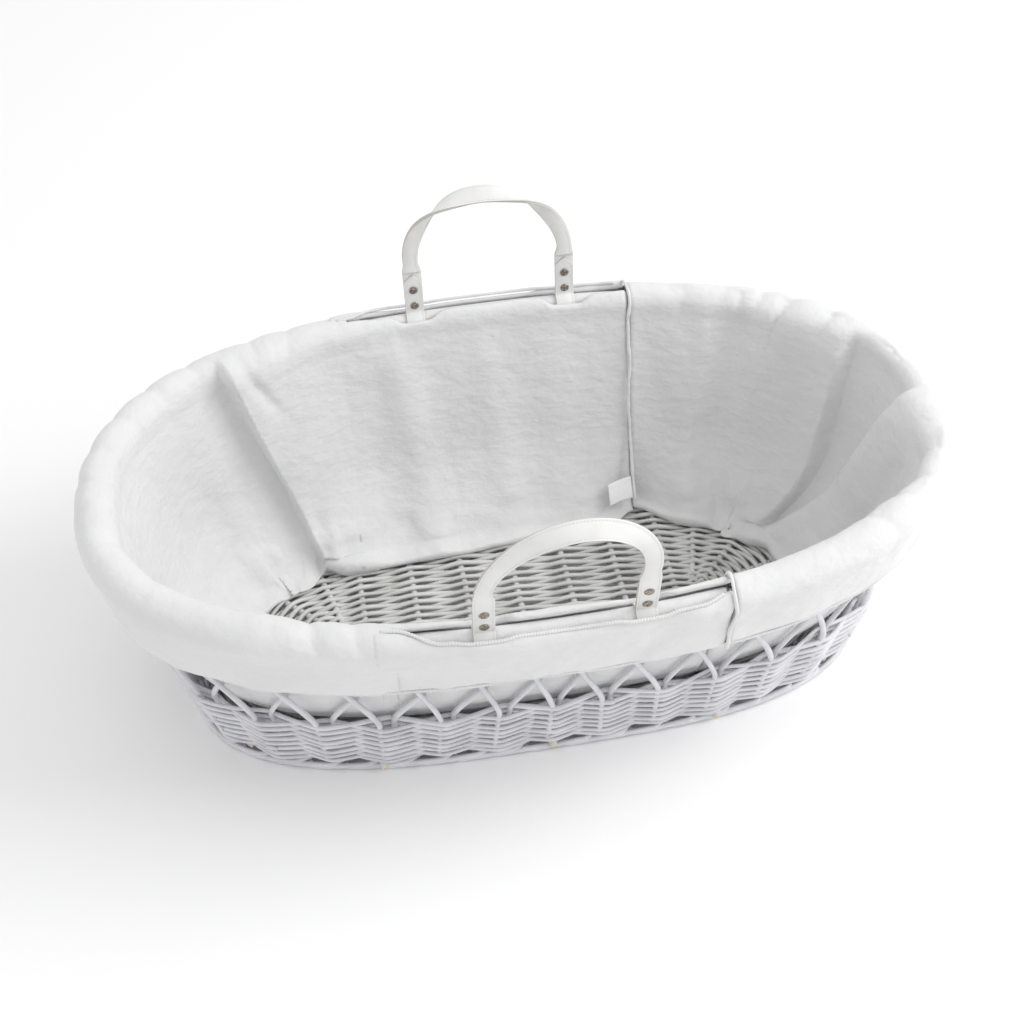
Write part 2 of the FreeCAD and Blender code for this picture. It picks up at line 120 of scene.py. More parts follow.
def distances(points):
    """Distance along a polyline at each of its points."""
    steps = np.linalg.norm(np.diff(points, axis=0), axis=1)
    return np.concatenate([[0], np.cumsum(steps)])


def points_at(at, lengths, points):
    """Points at given distances along a polyline."""
    return np.stack([np.interp(at, lengths, column) for column in points.T], -1)


def resample(points, count):
    """Evenly spaced points along a polyline."""
    lengths = distances(points)
    return points_at(np.linspace(0, lengths[-1], count), lengths, points)


# ---- the wall that everything follows ----------------------------------------------------------
def wall_size(z):
    share = np.minimum(z / RIM_Z, 1)
    return lerp(BASE_A, RIM_A, share), lerp(BASE_B, RIM_B, share), lerp(BASE_N, RIM_N, share)


def signed_power(value, power):
    return np.sign(value) * np.abs(value) ** power


def wall(angle, offset, z):
    """Points at running angles, moved outward by offset from the wall's middle surface."""
    angle, offset, z = np.broadcast_arrays(angle, offset, z)
    a, b, n = wall_size(z)
    return np.stack([signed_power(np.cos(angle), 2 / n) * (a + offset),
                     signed_power(np.sin(angle), 2 / n) * (b + offset), z], -1)


def arc_table(z, samples=7200):
    """Running angles and the distance round the outline at each, at a height."""
    angles = np.linspace(0, 2 * np.pi, samples + 1)
    return angles, distances(wall(angles, 0, z))


BASE_ANGLES, BASE_LENGTHS = arc_table(0.0)
RIM_ANGLES, RIM_LENGTHS = arc_table(RIM_Z)


def angle_at(share, angles=BASE_ANGLES, lengths=BASE_LENGTHS):
    """Running angle at a share of the way round; shares may pass 0 or 1."""
    share = np.asarray(share, float)
    turns = np.floor(share)
    return np.interp((share - turns) * lengths[-1], lengths, angles) + 2 * np.pi * turns


# ---- mesh builders --------------------------------------------------------------------------
def make_object(name, verts, faces, materials, indices=None, smooth_faces=True):
    mesh = bpy.data.meshes.new(name)
    mesh.from_pydata(np.asarray(verts, float).tolist(), [], faces)
    for material in materials:
        mesh.materials.append(material)
    if indices is not None:
        mesh.polygons.foreach_set("material_index", np.asarray(indices, np.int32))
    mesh.polygons.foreach_set("use_smooth", np.full(len(mesh.polygons), smooth_faces))
    mesh.validate()
    mesh.update()
    piece = bpy.data.objects.new(name, mesh)
    bpy.context.scene.collection.objects.link(piece)
    return piece


def declare(piece, body, slot, *nodes):
    """Attach a piece to the body it rides on and hide the CAD nodes it stands for; slot is not
    used.
    """
    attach(piece, body)
    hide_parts(*nodes)


def ring_faces(low, high, sides):
    """Quads between two rings, given the number of each ring's first point."""
    turns = [(k, (k + 1) % sides) for k in range(sides)]
    return [(low + here, low + there, high + there, high + here) for here, there in turns]


def tube(points, radius, reference, sides=8, closed=False):
    """Verts, faces and material numbers of one tube; its ends are material 1."""
    points = np.asarray(points, float)
    count = len(points)
    radius = np.broadcast_to(radius, (count,)).astype(float)
    if closed:
        tangent = unit(np.roll(points, -1, 0) - np.roll(points, 1, 0))
    else:
        tangent = unit(np.gradient(points, axis=0))
    reference = np.broadcast_to(np.asarray(reference, float), (count, 3))
    side = unit(reference - tangent * np.sum(reference * tangent, 1, keepdims=True))
    other = np.cross(tangent, side)
    turns = (np.arange(sides) * 2 * np.pi / sides)[None, :, None]
    ring = np.cos(turns) * side[:, None] + np.sin(turns) * other[:, None]
    verts = (points[:, None] + ring * radius[:, None, None]).reshape(-1, 3)
    faces = []
    for i in range(count if closed else count - 1):
        faces += ring_faces(i * sides, (i + 1) % count * sides, sides)
    numbers = [0] * len(faces)
    if not closed:
        faces.append(tuple(range(sides - 1, -1, -1)))
        faces.append(tuple(range((count - 1) * sides, count * sides)))
        numbers += [1, 1]
    return verts, faces, numbers


def hoop(points, radius, sides=8):
    """Arguments of tube() for a rod that runs all the way round."""
    return dict(points=points, radius=radius, reference=(0, 0, 1), sides=sides, closed=True)


def tubes(name, specs, materials):
    """One object of many tubes; each spec holds the arguments of tube()."""
    all_verts, all_faces, all_numbers = [], [], []
    start = 0
    for spec in specs:
        verts, faces, numbers = tube(**spec)
        all_verts.append(verts)
        all_faces += [tuple(v + start for v in face) for face in faces]
        all_numbers += numbers
        start += len(verts)
    return make_object(name, np.concatenate(all_verts), all_faces, materials, all_numbers)


# ---- materials ------------------------------------------------------------------------------
def new_material(name, color, roughness, **inputs):
    """Material with its shader and an empty place for colour and bump nodes."""
    material = bpy.data.materials.new(name)
    material.use_nodes = True
    shader = material.node_tree.nodes["Principled BSDF"]
    shader.inputs["Base Color"].default_value = (*color, 1)
    shader.inputs["Roughness"].default_value = roughness
    for key, value in inputs.items():
        shader.inputs[key.replace("_", " ")].default_value = value
    return material, material.node_tree, shader


def node(tree, kind, **inputs):
    made = tree.nodes.new(kind)
    for key, value in inputs.items():
        made.inputs[key.replace("_", " ")].default_value = value
    return made


def object_noise(tree, scale, detail=3.0, stretch=(1, 1, 1)):
    """Noise in object space, stretched per axis."""
    place = tree.nodes.new("ShaderNodeTexCoord")
    mapping = node(tree, "ShaderNodeMapping", Scale=stretch)
    texture = node(tree, "ShaderNodeTexNoise", Scale=scale, Detail=detail)
    tree.links.new(place.outputs["Object"], mapping.inputs["Vector"])
    tree.links.new(mapping.outputs["Vector"], texture.inputs["Vector"])
    return texture


def ramp(tree, source, stops):
    """Colour ramp over a value; stops are (place, colour)."""
    made = tree.nodes.new("ShaderNodeValToRGB")
    elements = made.color_ramp.elements
    while len(elements) < len(stops):
        elements.new(0.5)
    for element, (place, color) in zip(elements, stops):
        element.position = place
        element.color = (*color, 1)
    tree.links.new(source, made.inputs["Fac"])
    return made


def tint_with(tree, shader, texture, stops):
    """Colour a shader by a noise texture."""
    made = ramp(tree, texture.outputs["Fac"], stops)
    tree.links.new(made.outputs["Color"], shader.inputs["Base Color"])


def add_bump(tree, shader, height, strength, distance, before=None):
    bump = node(tree, "ShaderNodeBump", Strength=strength, Distance=distance)
    tree.links.new(height, bump.inputs["Height"])
    if before:
        tree.links.new(before.outputs["Normal"], bump.inputs["Normal"])
    tree.links.new(bump.outputs["Normal"], shader.inputs["Normal"])
    return bump


def willow_material(name, light, dark, bare):
    """Sprayed willow: near-white paint with thin spots, bare specks and a fine grain."""
    material, tree, shader = new_material(name, light, 0.45)
    broad = object_noise(tree, 35, 4)
    tint = ramp(tree, broad.outputs["Fac"], [(0.3, dark), (0.62, light)])
    speck = object_noise(tree, 170, 2)
    mask = ramp(tree, speck.outputs["Fac"], [(0.70, (0, 0, 0)), (0.76, (1, 1, 1))])
    mix = tree.nodes.new("ShaderNodeMix")
    mix.data_type = "RGBA"
    tree.links.new(mask.outputs["Color"], mix.inputs["Factor"])
    tree.links.new(tint.outputs["Color"], mix.inputs["A"])
    mix.inputs["B"].default_value = (*bare, 1)
    tree.links.new(mix.outputs["Result"], shader.inputs["Base Color"])
    grain = object_noise(tree, 420, 5)
    add_bump(tree, shader, grain.outputs["Fac"], 0.5, 0.0008)
    rough = ramp(tree, speck.outputs["Fac"], [(0.2, (0.36,) * 3), (0.8, (0.62,) * 3)])
    tree.links.new(rough.outputs["Color"], shader.inputs["Roughness"])
    return material


def cut_material():
    """Cut end of a rod: bare wood with rings."""
    material, tree, shader = new_material("cut_willow", (0.74, 0.66, 0.52), 0.7)
    rings = object_noise(tree, 600, 4)
    tint_with(tree, shader, rings, [(0.3, (0.56, 0.47, 0.34)), (0.7, (0.83, 0.77, 0.64))])
    add_bump(tree, shader, rings.outputs["Fac"], 0.6, 0.0006)
    return material


def weave_height(tree, pitch):
    """Height of a plain weave: fine threads along two directions, object X and Z."""
    place = tree.nodes.new("ShaderNodeTexCoord")
    waves = []
    for direction in ("X", "Z"):
        wave = node(tree, "ShaderNodeTexWave", Scale=0.314 / pitch, Distortion=0.6, Detail=1.0)
        wave.bands_direction = direction
        tree.links.new(place.outputs["Object"], wave.inputs["Vector"])
        waves.append(wave)
    total = tree.nodes.new("ShaderNodeMath")
    total.operation = "ADD"
    tree.links.new(waves[0].outputs["Fac"], total.inputs[0])
    tree.links.new(waves[1].outputs["Fac"], total.inputs[1])
    return total


def cotton_material(name, light, shade):
    """White cotton: plain weave, faint slubs and soft creases."""
    material, tree, shader = new_material(name, light, 0.85, Sheen_Weight=0.25, Sheen_Roughness=0.5)
    shader.inputs["Specular IOR Level"].default_value = 0.25
    cloud = object_noise(tree, 14, 3)
    tint_with(tree, shader, cloud, [(0.35, shade), (0.6, light)])
    weave = weave_height(tree, 0.0011)
    first = add_bump(tree, shader, weave.outputs["Value"], 0.12, 0.0002)
    crease = object_noise(tree, 55, 5, (1, 1, 1.6))
    add_bump(tree, shader, crease.outputs["Fac"], 0.42, 0.006, before=first)
    return material


def leather_material(name, light, shade):
    """Coated leather: fine pebble grain with a soft sheen."""
    material, tree, shader = new_material(name, light, 0.38, Coat_Weight=0.12, Coat_Roughness=0.3)
    cloud = object_noise(tree, 45, 3)
    tint_with(tree, shader, cloud, [(0.3, shade), (0.65, light)])
    place = tree.nodes.new("ShaderNodeTexCoord")
    pebble = node(tree, "ShaderNodeTexVoronoi", Scale=1100.0)
    tree.links.new(place.outputs["Object"], pebble.inputs["Vector"])
    add_bump(tree, shader, pebble.outputs["Distance"], 0.25, 0.0003)
    return material


def thread_material():
    material, tree, shader = new_material("thread", (0.80, 0.77, 0.70), 0.7)
    twist = object_noise(tree, 2500, 2)
    tint_with(tree, shader, twist, [(0.3, (0.66, 0.62, 0.54)), (0.7, (0.85, 0.83, 0.77))])
    return material


def rivet_material():
    """Antique nickel: dark in the hollows, brighter where it is rubbed."""
    material, tree, shader = new_material("antique_rivet", (0.33, 0.29, 0.25), 0.34, Metallic=1.0)
    wear = object_noise(tree, 500, 4)
    tint_with(tree, shader, wear, [(0.35, (0.16, 0.13, 0.10)), (0.7, (0.52, 0.47, 0.41))])
    add_bump(tree, shader, wear.outputs["Fac"], 0.3, 0.0003)
    return material


WILLOW = willow_material("painted_willow", light=(0.72, 0.72, 0.75), dark=(0.60, 0.595, 0.625),
                         bare=(0.70, 0.64, 0.52))
# Darker, greyer copy of the painted willow for the woven floor: painted shade from the walls round
# it, not a different paint.
BASE_WILLOW_PAINTED_SHADE = willow_material("base_willow_painted_shade", light=(0.67, 0.67, 0.655), dark=(0.53, 0.53, 0.51),
                               bare=(0.74, 0.66, 0.56))
CUT = cut_material()
COTTON = cotton_material("white_cotton", (0.735, 0.735, 0.740), (0.705, 0.705, 0.708))
EDGE_COTTON = cotton_material("sewn_cotton", (0.75, 0.75, 0.755), (0.69, 0.69, 0.69))
LEATHER = leather_material("white_leather", (0.78, 0.78, 0.775), (0.72, 0.72, 0.712))
THREAD = thread_material()
RIVET = rivet_material()
LABEL = cotton_material("label_tape", (0.88, 0.88, 0.88), (0.85, 0.85, 0.85))
CUT_LEATHER = leather_material("leather_edge", (0.60, 0.57, 0.54), (0.48, 0.45, 0.42))
LINING_LEATHER = leather_material("lining_leather", (0.80, 0.80, 0.79), (0.73, 0.725, 0.715))


# ---- wicker ---------------------------------------------------------------------------------
def zigzag(x, sharpness=0.99):
    """Wave of period 2 that is +1 at even numbers, -1 at odd ones, with pointed crests."""
    return np.arcsin(sharpness * np.cos(np.pi * x)) / math.asin(sharpness)


WEAVER = 2.35 * MM  # radius of a weaver, and below it the radius where a row closes
WEAVER_AT_JOIN = 2.3 * MM
WEAVER_WOBBLE = 0.9 * MM
WALE_RISE = 2.8 * MM
RIM_RODS = ((-3.4, -2.1), (3.4, -2.1), (0.0, 3.9))  # mm outward and up from the rim's middle


def weave_rows(name, node_name, low, high, rows, reach, seed, samples=10):
    """Band of single rods woven in front of one stake and behind the next."""
    shares = np.arange(STAKES * samples) / (STAKES * samples)
    places = shares * STAKES
    angles = angle_at(shares)
    pitch = (high - low) / rows
    specs = []
    for row in range(rows):
        join = smooth(np.abs(places - STAKES / 2), STAKES / 2 - 0.6, STAKES / 2)
        thick = WEAVER * (1 + 0.20 * noise(places / 3 + row * 7, row, seed + 1))
        thick = lerp(thick, WEAVER_AT_JOIN, join)
        wobble = WEAVER_WOBBLE * noise(places * 0.7, row * 0.9, seed, int(STAKES * 0.7))
        uneven = 0.12 * noise(places, row * 1.7, seed + 5) * (1 - join)
        swing = reach * zigzag(places + row) * (1 + uneven)
        z = low + (row + 0.5) * pitch + wobble * (1 - join)
        specs.append(hoop(wall(angles, swing, z), thick))
    specs += rod_ends(low, high, rows, reach, seed)
    band = tubes(name, specs, [WILLOW, CUT])
    declare(band, "basket", "painted_willow", node_name)


def rod_ends(low, high, rows, reach, seed, count=46):
    """Short cut ends where one weaver runs out beside a stake and the next one starts."""
    pitch = (high - low) / rows
    length = 0.42  # in stakes
    turn = np.linspace(0, length, 6)
    specs = []
    for number in range(count):
        pick = lattice(np.array([number, number + 500, number + 900]), np.array([seed] * 3), 77)
        stake = int((pick[0] + 1) / 2 * STAKES)
        row = int((pick[1] + 1) / 2 * (rows - 1))
        level = row + (row + stake) % 2
        z = low + (level + 0.5) * pitch + 1.6 * MM
        side = 1 if pick[2] > 0 else -1
        places = stake + side * (turn - 0.10)
        swing = reach * 0.9 - 2.2 * MM * (turn / length) ** 2 * 4 + 1.3 * MM
        points = wall(angle_at(places / STAKES), swing, np.minimum(z - turn * 3 * MM, high))
        radius = np.linspace(2.3, 1.6, 6) * MM
        specs.append(dict(points=points, radius=radius, reference=(0, 0, 1)))
    return specs


def wale_rounds(name, node_name, seed=3):
    """Foot border: a round of thick rods, three at a time, and three woven rows above it."""
    waves, strands, samples = 16, 3, 640
    shares = np.arange(samples) / samples
    angles = angle_at(shares)
    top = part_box(node_name)[1].z
    radius = 2.9 * MM
    specs = []
    for strand in range(strands):
        phase = (shares * waves + strand / strands) % 1
        front = smooth(phase, 0.0, 0.16) * (1 - smooth(phase, 0.62, 0.80))
        swing = lerp(-4.5 * MM, 6.6 * MM, front)
        under = smooth(phase, 0.8, 1)
        rise = lerp(-WALE_RISE, WALE_RISE, smooth(phase, 0.05, 0.75)) * (1 - under)
        rise = rise - WALE_RISE * under
        thick = radius * (1 + 0.09 * noise(shares * 30, strand, seed, 30))
        z = np.maximum(radius + 3.4 * MM + rise, thick + 0.1 * MM)
        specs.append(hoop(wall(angles, swing, z), thick, 10))
    rows = 3
    low = 12.5 * MM
    pitch = (top - low) / rows
    for row in range(rows):
        uneven = 0.10 * noise(shares * 24, row * 5, seed + 9, 24)
        thick = min(2.5 * MM, pitch * 0.52) * (1 + uneven)
        z = low + (row + 0.5) * pitch + 0.5 * MM * noise(shares * 22, row, seed + 8, 22)
        z = np.minimum(z, top - thick)
        swing = 6.4 * MM * zigzag(shares * STAKES + row + 1)
        specs.append(hoop(wall(angles, swing, z), thick))
    border = tubes(name, specs, [WILLOW, CUT])
    declare(border, "basket", "painted_willow", node_name)


def stake_rods(name, node_name, side, lean, layer, seed):
    """Side stakes of one lean, upright in the weave and slanting through the open band."""
    low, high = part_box(node_name)
    steps = 26
    z = np.linspace(low.z + 3 * MM, high.z - 3 * MM, steps)
    slant = np.clip((z - WEAVE_HIGH.z) / (UPPER_LOW.z - WEAVE_HIGH.z), 0, 1)
    slant = lerp(slant, smooth(slant, 0, 1), 0.3)
    specs = []
    for number in range(STAKES):
        pick = lattice(np.array([number]), np.array([seed]), 5)[0]
        place = number + side * (0.10 + (lean + 0.05 * pick) * slant)
        thick = 2.9 * MM * (1 + 0.08 * pick) * np.linspace(1.06, 0.92, steps)
        bow = layer + 0.5 * MM * np.sin(np.pi * slant) * pick
        points = wall(angle_at(place / STAKES), bow, z)
        outward = points * np.array([1, 1, 0])
        specs.append(dict(points=points, radius=thick, reference=outward, sides=8))
    rods = tubes(name, specs, [WILLOW, CUT])
    declare(rods, "basket", "painted_willow", node_name)


def rim_bundle():
    """Three rods round the rim, seen through the handle slots."""
    samples = 300
    shares = np.arange(samples) / samples
    angles = angle_at(shares, RIM_ANGLES, RIM_LENGTHS)
    specs = []
    for number, (offset, height) in enumerate(RIM_RODS):
        wave = 0.35 * MM * noise(shares * 40, number, 9, 40)
        points = wall(angles, offset * MM + wave, RIM_Z + height * MM)
        specs.append(hoop(points, 3.1 * MM, 10))
    rods = tubes("woven_rim_rods", specs, [WILLOW, CUT])
    declare(rods, "basket", "painted_willow", "rim_rods")


# ---- woven floor -------------------------------------------------------------------------------
SPINE = BASE_A - BASE_B
STICK_PITCH = 57 * MM
STICKS_BESIDE = 3  # straight sticks on either side of the middle one
FAN_FIRST, FAN_STEP = 75, 30  # degrees from the long axis, at each end
STICK_Z = (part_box("base_cross_sticks")[0].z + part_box("base_cross_sticks")[1].z) / 2


def stick_place(points):
    """Count of base sticks passed at each point: whole on a stick, between them a fraction."""
    x, y = np.abs(points[:, 0]), np.abs(points[:, 1])
    straight = x / STICK_PITCH
    turn = np.degrees(np.arctan2(y, x - SPINE))
    fan = STICKS_BESIDE + 1 + (FAN_FIRST - turn) / FAN_STEP
    between = lerp(3, 4, np.clip((straight - STICKS_BESIDE) / 0.8, 0, 1))
    return np.where(straight <= STICKS_BESIDE, straight, np.where(turn < FAN_FIRST, fan, between))


def floor_rows():
    """Oval rows of weavers round the base sticks, packed close."""
    inset = 8.4 * MM
    pitch = 4.9 * MM
    spacing = 4.6 * MM
    dense = 2000
    shares = np.arange(dense) / dense
    outline = wall(angle_at(shares), -inset, STICK_Z)
    spine = np.stack([np.clip(outline[:, 0] * SPINE / (BASE_A * 0.80), -SPINE, SPINE),
                      0 * shares, np.full(dense, STICK_Z)], -1)
    rows = int((BASE_B - inset) / pitch)
    specs = []
    for row in range(rows):
        ring = lerp(outline, spine, (row + 0.45) / rows)
        ring = np.concatenate([ring, ring[:1]])
        around = distances(ring)
        samples = int(around[-1] / spacing)
        share = np.arange(samples) / samples
        points = points_at(share * around[-1], around, ring)
        swing = 4.6 * MM * zigzag(stick_place(points) + row)
        drift = 0.7 * MM * noise(share * 48, row * 0.8, 21, 48)
        points[:, 2] += swing + 1.0 * MM + 0.5 * MM * noise(share * 60, row, 22, 60)
        points[:, 1] += drift * np.sign(points[:, 1])
        thick = 2.6 * MM * (1 + 0.14 * noise(share * 36, row * 3, 23, 36))
        points[:, 2] = np.clip(points[:, 2], 5.6 * MM, FLOOR_TOP - thick * 0.4)
        specs.append(hoop(points, thick, 6))
    # The floor rods take the darker willow copy, whose colour is painted shade.
    floor = tubes("woven_floor_rods", specs, [BASE_WILLOW_PAINTED_SHADE, CUT])
    declare(floor, "basket", "painted_willow", "base_weave")


def outline_reach(start, way, offset):
    """Distance from a point to the outline at stick height, going one way."""
    far = np.linspace(0, 0.2, 2000)
    x = np.abs(start[0] + way[0] * far) / (BASE_A + 2.7 * MM + offset)
    y = np.abs(start[1] + way[1] * far) / (BASE_B + 2.8 * MM + offset)
    return float(far[np.argmax(x ** BASE_N + y ** BASE_N >= 1)])


def base_sticks():
    """Thick sticks across the base and fans of sticks at its ends, with pale cut ends."""
    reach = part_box("base_cross_sticks")[1].y
    specs = []
    for number in range(-STICKS_BESIDE, STICKS_BESIDE + 1):
        x = number * STICK_PITCH
        stand_out = 12 * MM if number % 3 == 0 else 2 * MM
        half = min(outline_reach((x, 0), (0, 1), stand_out), reach)
        y = np.linspace(-half, half, 15)
        points = np.stack([x + 0.8 * MM * noise(y * 20, number, 31), y, np.full(15, STICK_Z)], -1)
        radius = np.linspace(3.9, 3.4, 15) * MM
        specs.append(dict(points=points, radius=radius, reference=(0, 0, 1), sides=14))
    for end in (-1, 1):
        for number in range(6):
            turn = math.radians(FAN_STEP * number - FAN_FIRST)
            way = np.array([end * math.cos(turn), math.sin(turn), 0])
            hub = np.array([end * SPINE, 0, STICK_Z])
            steps = np.linspace(16 * MM, outline_reach(hub, way, 2 * MM), 12)[:, None]
            specs.append(dict(points=hub + way * steps, radius=np.linspace(3.2, 3.7, 12) * MM,
                              reference=(0, 0, 1), sides=12))
    sticks = tubes("base_stick_rods", specs, [WILLOW, CUT])
    declare(sticks, "basket", "painted_willow", "base_cross_sticks")


def build_wicker():
    weave_rows("lower_band_rods", "lower_weave", WEAVE_LOW.z, WEAVE_HIGH.z, 13, 6.6 * MM, 11, 16)
    weave_rows("upper_band_rods", "upper_weave", UPPER_LOW.z, UPPER_HIGH.z, 9, 4.6 * MM, 12, 14)
    wale_rounds("foot_border_rods", "foot_border")
    stake_rods("left_stake_rods", "stakes_leaning_left", -1, 0.60, 3.3 * MM, 1)
    stake_rods("right_stake_rods", "stakes_leaning_right", 1, 0.90, -3.3 * MM, 2)
    rim_bundle()
    floor_rows()
    base_sticks()


# ---- liner ------------------------------------------------------------------------------------
def column_point(angle, offset, z):
    """As wall(), but near the middle of the long sides a column keeps its x all the way down."""
    angle, offset, z = np.broadcast_arrays(angle, offset, z)
    a, b, n = wall_size(z)
    c, s = np.cos(angle), np.sin(angle)
    x_rim = RIM_A * np.abs(c) ** (2 / RIM_N)
    straight = np.arccos(np.clip(x_rim / (a + offset), 0, 1) ** (n / 2))
    own = np.arccos(np.clip(np.abs(c), 0, 1))
    turn = lerp(straight, own, smooth(x_rim, 180 * MM, 340 * MM))
    return np.stack([np.sign(c) * (a + offset) * np.abs(np.cos(turn)) ** (2 / n),
                     np.sign(s) * (b + offset) * np.abs(np.sin(turn)) ** (2 / n), z], -1)


def rim_angle(x, side):
    """Running angle of the rim's middle line at x, on the front (-1) or the back (1)."""
    angle = math.acos(math.copysign((abs(x) / RIM_A) ** (RIM_N / 2), x))
    return angle if side > 0 else 2 * math.pi - angle


def rim_share(angle):
    return np.interp(angle, RIM_ANGLES, RIM_LENGTHS) / RIM_LENGTHS[-1]


def rim_arc(angles):
    """Distance round the rim, which keeps growing past a full turn."""
    turns = np.floor(angles / (2 * np.pi))
    return (rim_share(angles - 2 * np.pi * turns) + turns) * RIM_LENGTHS[-1]


def polar(radius, degrees):
    """(offset, z) about the rim's middle line; 0 degrees is level outside, 90 is on top."""
    turn = np.radians(degrees)
    return np.stack([radius * np.cos(turn), RIM_Z + radius * np.sin(turn)], -1)


INNER_FACE = -15.4 * MM
OUTER_FACE = 15.8 * MM
PAD = 6.5 * MM
HANG_Z = 126 * MM  # below this the inner wall slopes in, by HANG_INSET at its foot
HANG_INSET = 36 * MM
SLOPE_FOOT = FLOOR_TOP + 9 * MM
TAIL = 70 * MM  # usual reach of the cotton's edge on the floor, in from the base outline


def tail_reach(x, y, place):
    """How far the cotton's lower edge lies in from the base outline."""
    reach = TAIL + 7 * MM * float(noise(place / 0.10, 0.0, 111))
    reach += 3 * MM * float(noise(place / 0.035, 0.0, 112))
    if y > 0:
        reach -= 34 * MM * math.exp(-((x - SEAM_X - 6 * MM) / (26 * MM)) ** 2)
        reach -= 16 * MM * math.exp(-((x + 203 * MM) / (14 * MM)) ** 2)
    return reach


def slope_face(z, foot):
    """Offset of the cotton's face where the inner wall slopes in towards its foot."""
    share = np.clip((z - SLOPE_FOOT) / (HANG_Z - SLOPE_FOOT), 0, 1)
    return lerp(INNER_FACE, -foot, (1 - share) ** 1.9)


def inner_profile(top_angle, count, reach=69 * MM):
    """(offset, z) from the tail on the floor up the inner wall and over to an angle on the roll."""
    foot = min(-INNER_FACE + HANG_INSET, reach - 12 * MM)
    low = np.array([(-reach, FLOOR_TOP + 2.5 * MM), (-reach + 1.5 * MM, FLOOR_TOP + 5 * MM),
                    (-lerp(reach, foot, 0.6), FLOOR_TOP + 6.2 * MM), (-foot, SLOPE_FOOT)])
    share = np.linspace(0.12, 1, 8)
    z = lerp(SLOPE_FOOT, HANG_Z, share)
    slope = np.stack([slope_face(z, foot), z], -1)
    straight = np.array([[INNER_FACE, RIM_Z - 12 * MM]])
    curve = polar(ROLL_RADIUS + 0.4 * MM, np.linspace(184, top_angle, 12))
    return resample(np.concatenate([low, slope, straight, curve]), count)


def outer_profile(top_angle, count, hem=HEM_Z):
    """(offset, z) from an angle on the roll over and down the skirt to its hem."""
    curve = polar(ROLL_RADIUS + 0.4 * MM, np.linspace(top_angle, -8, 12))
    straight = np.array([[OUTER_FACE + 0.8 * MM, RIM_Z - 14 * MM],
                         [OUTER_FACE + 2 * MM, hem + 2 * MM]])
    return resample(np.concatenate([curve, straight]), count)


def profile_normals(profile):
    """Directions, in the section's plane, out of the padding on its visible side."""
    along = unit(np.gradient(profile, axis=0))
    return np.stack([-along[:, 1], along[:, 0]], -1)


def grid_normals(points):
    du = np.gradient(points, axis=0)
    dv = np.gradient(points, axis=1)
    return unit(np.cross(du, dv))


# Distance along the rim and along a profile, shared by every panel so that folds run across.
RIM_LENGTH = RIM_LENGTHS[-1]


def fold_line(distance, lip, hollow, width, reach):
    """Overlapping fold: a raised lip where distance < 0 and a hollow beyond it."""
    raised = lip * (1 - smooth(-distance, 0.012, reach))
    sunk = -hollow * (1 - smooth(distance, 0.006, 0.060))
    return lerp(raised, sunk, smooth(distance, -width / 2, width / 2))


def puckers(arc, run, seed, spacing):
    """Creases across the roll with soft puffs between them, from -1 to 1."""
    cells = arc / spacing + 0.42 * noise(arc / 0.07, run / 0.05, seed)
    cells = cells + 0.35 * noise(arc / 0.2, 0 * run, seed + 1)
    groove = 1 - np.abs(np.sin(np.pi * cells)) ** 0.5
    strength = np.clip(0.30 + 0.75 * noise(cells * 0.37, run / 0.12, seed + 2), 0, 1)
    return -groove * strength * 1.5


def crest_puckers(arc, run):
    return 3.2 * MM * np.exp(-((run - 0.002) / 0.052) ** 2) * puckers(arc, run, 51, 0.046)


def broad_folds(arc, run):
    return 2.6 * MM * noise(arc / 0.085 + run * 2.5, run / 0.21, 41)


# Soft standing folds on the far side: place along X (m), lean, width (m) and height (mm).
STANDING_FOLDS = ((-0.105, 0.12, 0.022, 3.6), (-0.012, 0.10, 0.018, 2.2),
                  (0.235, -0.12, 0.013, 3.0), (0.262, -0.10, 0.016, -3.4),
                  (0.205, -0.03, 0.020, 2.0))


def inside_folds(point, arc, run):
    """Height of the folds on the inner wall and the roll, in metres."""
    x, y, z = point[..., 0], point[..., 1], point[..., 2]
    far = smooth(np.abs(x), 0.13, 0.24)
    depth = np.maximum(-run, 0)
    height = broad_folds(arc, run) * lerp(0.55, 1.3, far)
    height += 1.3 * MM * noise(arc / 0.034, run / 0.10, 42) * smooth(depth, 0.02, 0.07)
    long_gather = np.exp(-(depth / 0.12) ** 2) * far * (run < 0)
    height += crest_puckers(arc, run) * lerp(0.10, 1.0, far)
    height += 2.6 * MM * long_gather * puckers(arc, run * 0.5, 54, 0.070)
    low = smooth(depth, 0.205, 0.245)
    height += 2.4 * MM * low * noise(arc / 0.030, run / 0.02, 61)
    # head end: the back part laps over the head part in one long slanting fold
    drop = RIM_Z - z
    edge = -0.279 + 0.24 * drop + 0.28 * drop ** 2
    at_back = smooth(y, 0.02, 0.06) * smooth(-x, 0.10, 0.15) * smooth(depth, 0.0, 0.03)
    height += at_back * fold_line(edge - x, 11 * MM, 4.5 * MM, 5 * MM, 0.11)
    dimple = x - (edge + 0.022 + 0.25 * drop)
    height -= at_back * 3.5 * MM * np.exp(-(dimple / 0.007) ** 2) * (1 - smooth(drop, 0.02, 0.075))
    # foot end: two layers lap towards a deep hollow between them
    at_foot = smooth(x, 0.24, 0.28) * smooth(depth, 0.0, 0.04)
    first = (0.095 - 0.14 * drop) - y
    second = y - (0.004 + 0.25 * drop)
    height += at_foot * fold_line(first, 11 * MM, 3 * MM, 6 * MM, 0.10)
    height += at_foot * fold_line(second, 12 * MM, 3 * MM, 7 * MM, 0.09)
    third = y + 0.055 - 0.18 * drop
    height -= at_foot * 3.0 * MM * np.exp(-(third / 0.010) ** 2) * smooth(drop, 0.02, 0.06)
    at_far_side = smooth(y, 0.02, 0.06) * smooth(depth, 0.01, 0.06)
    for place, lean, width, tall in STANDING_FOLDS:
        away = x - (place + lean * drop)
        height += at_far_side * tall * MM * np.exp(-(away / width) ** 2)
    return height


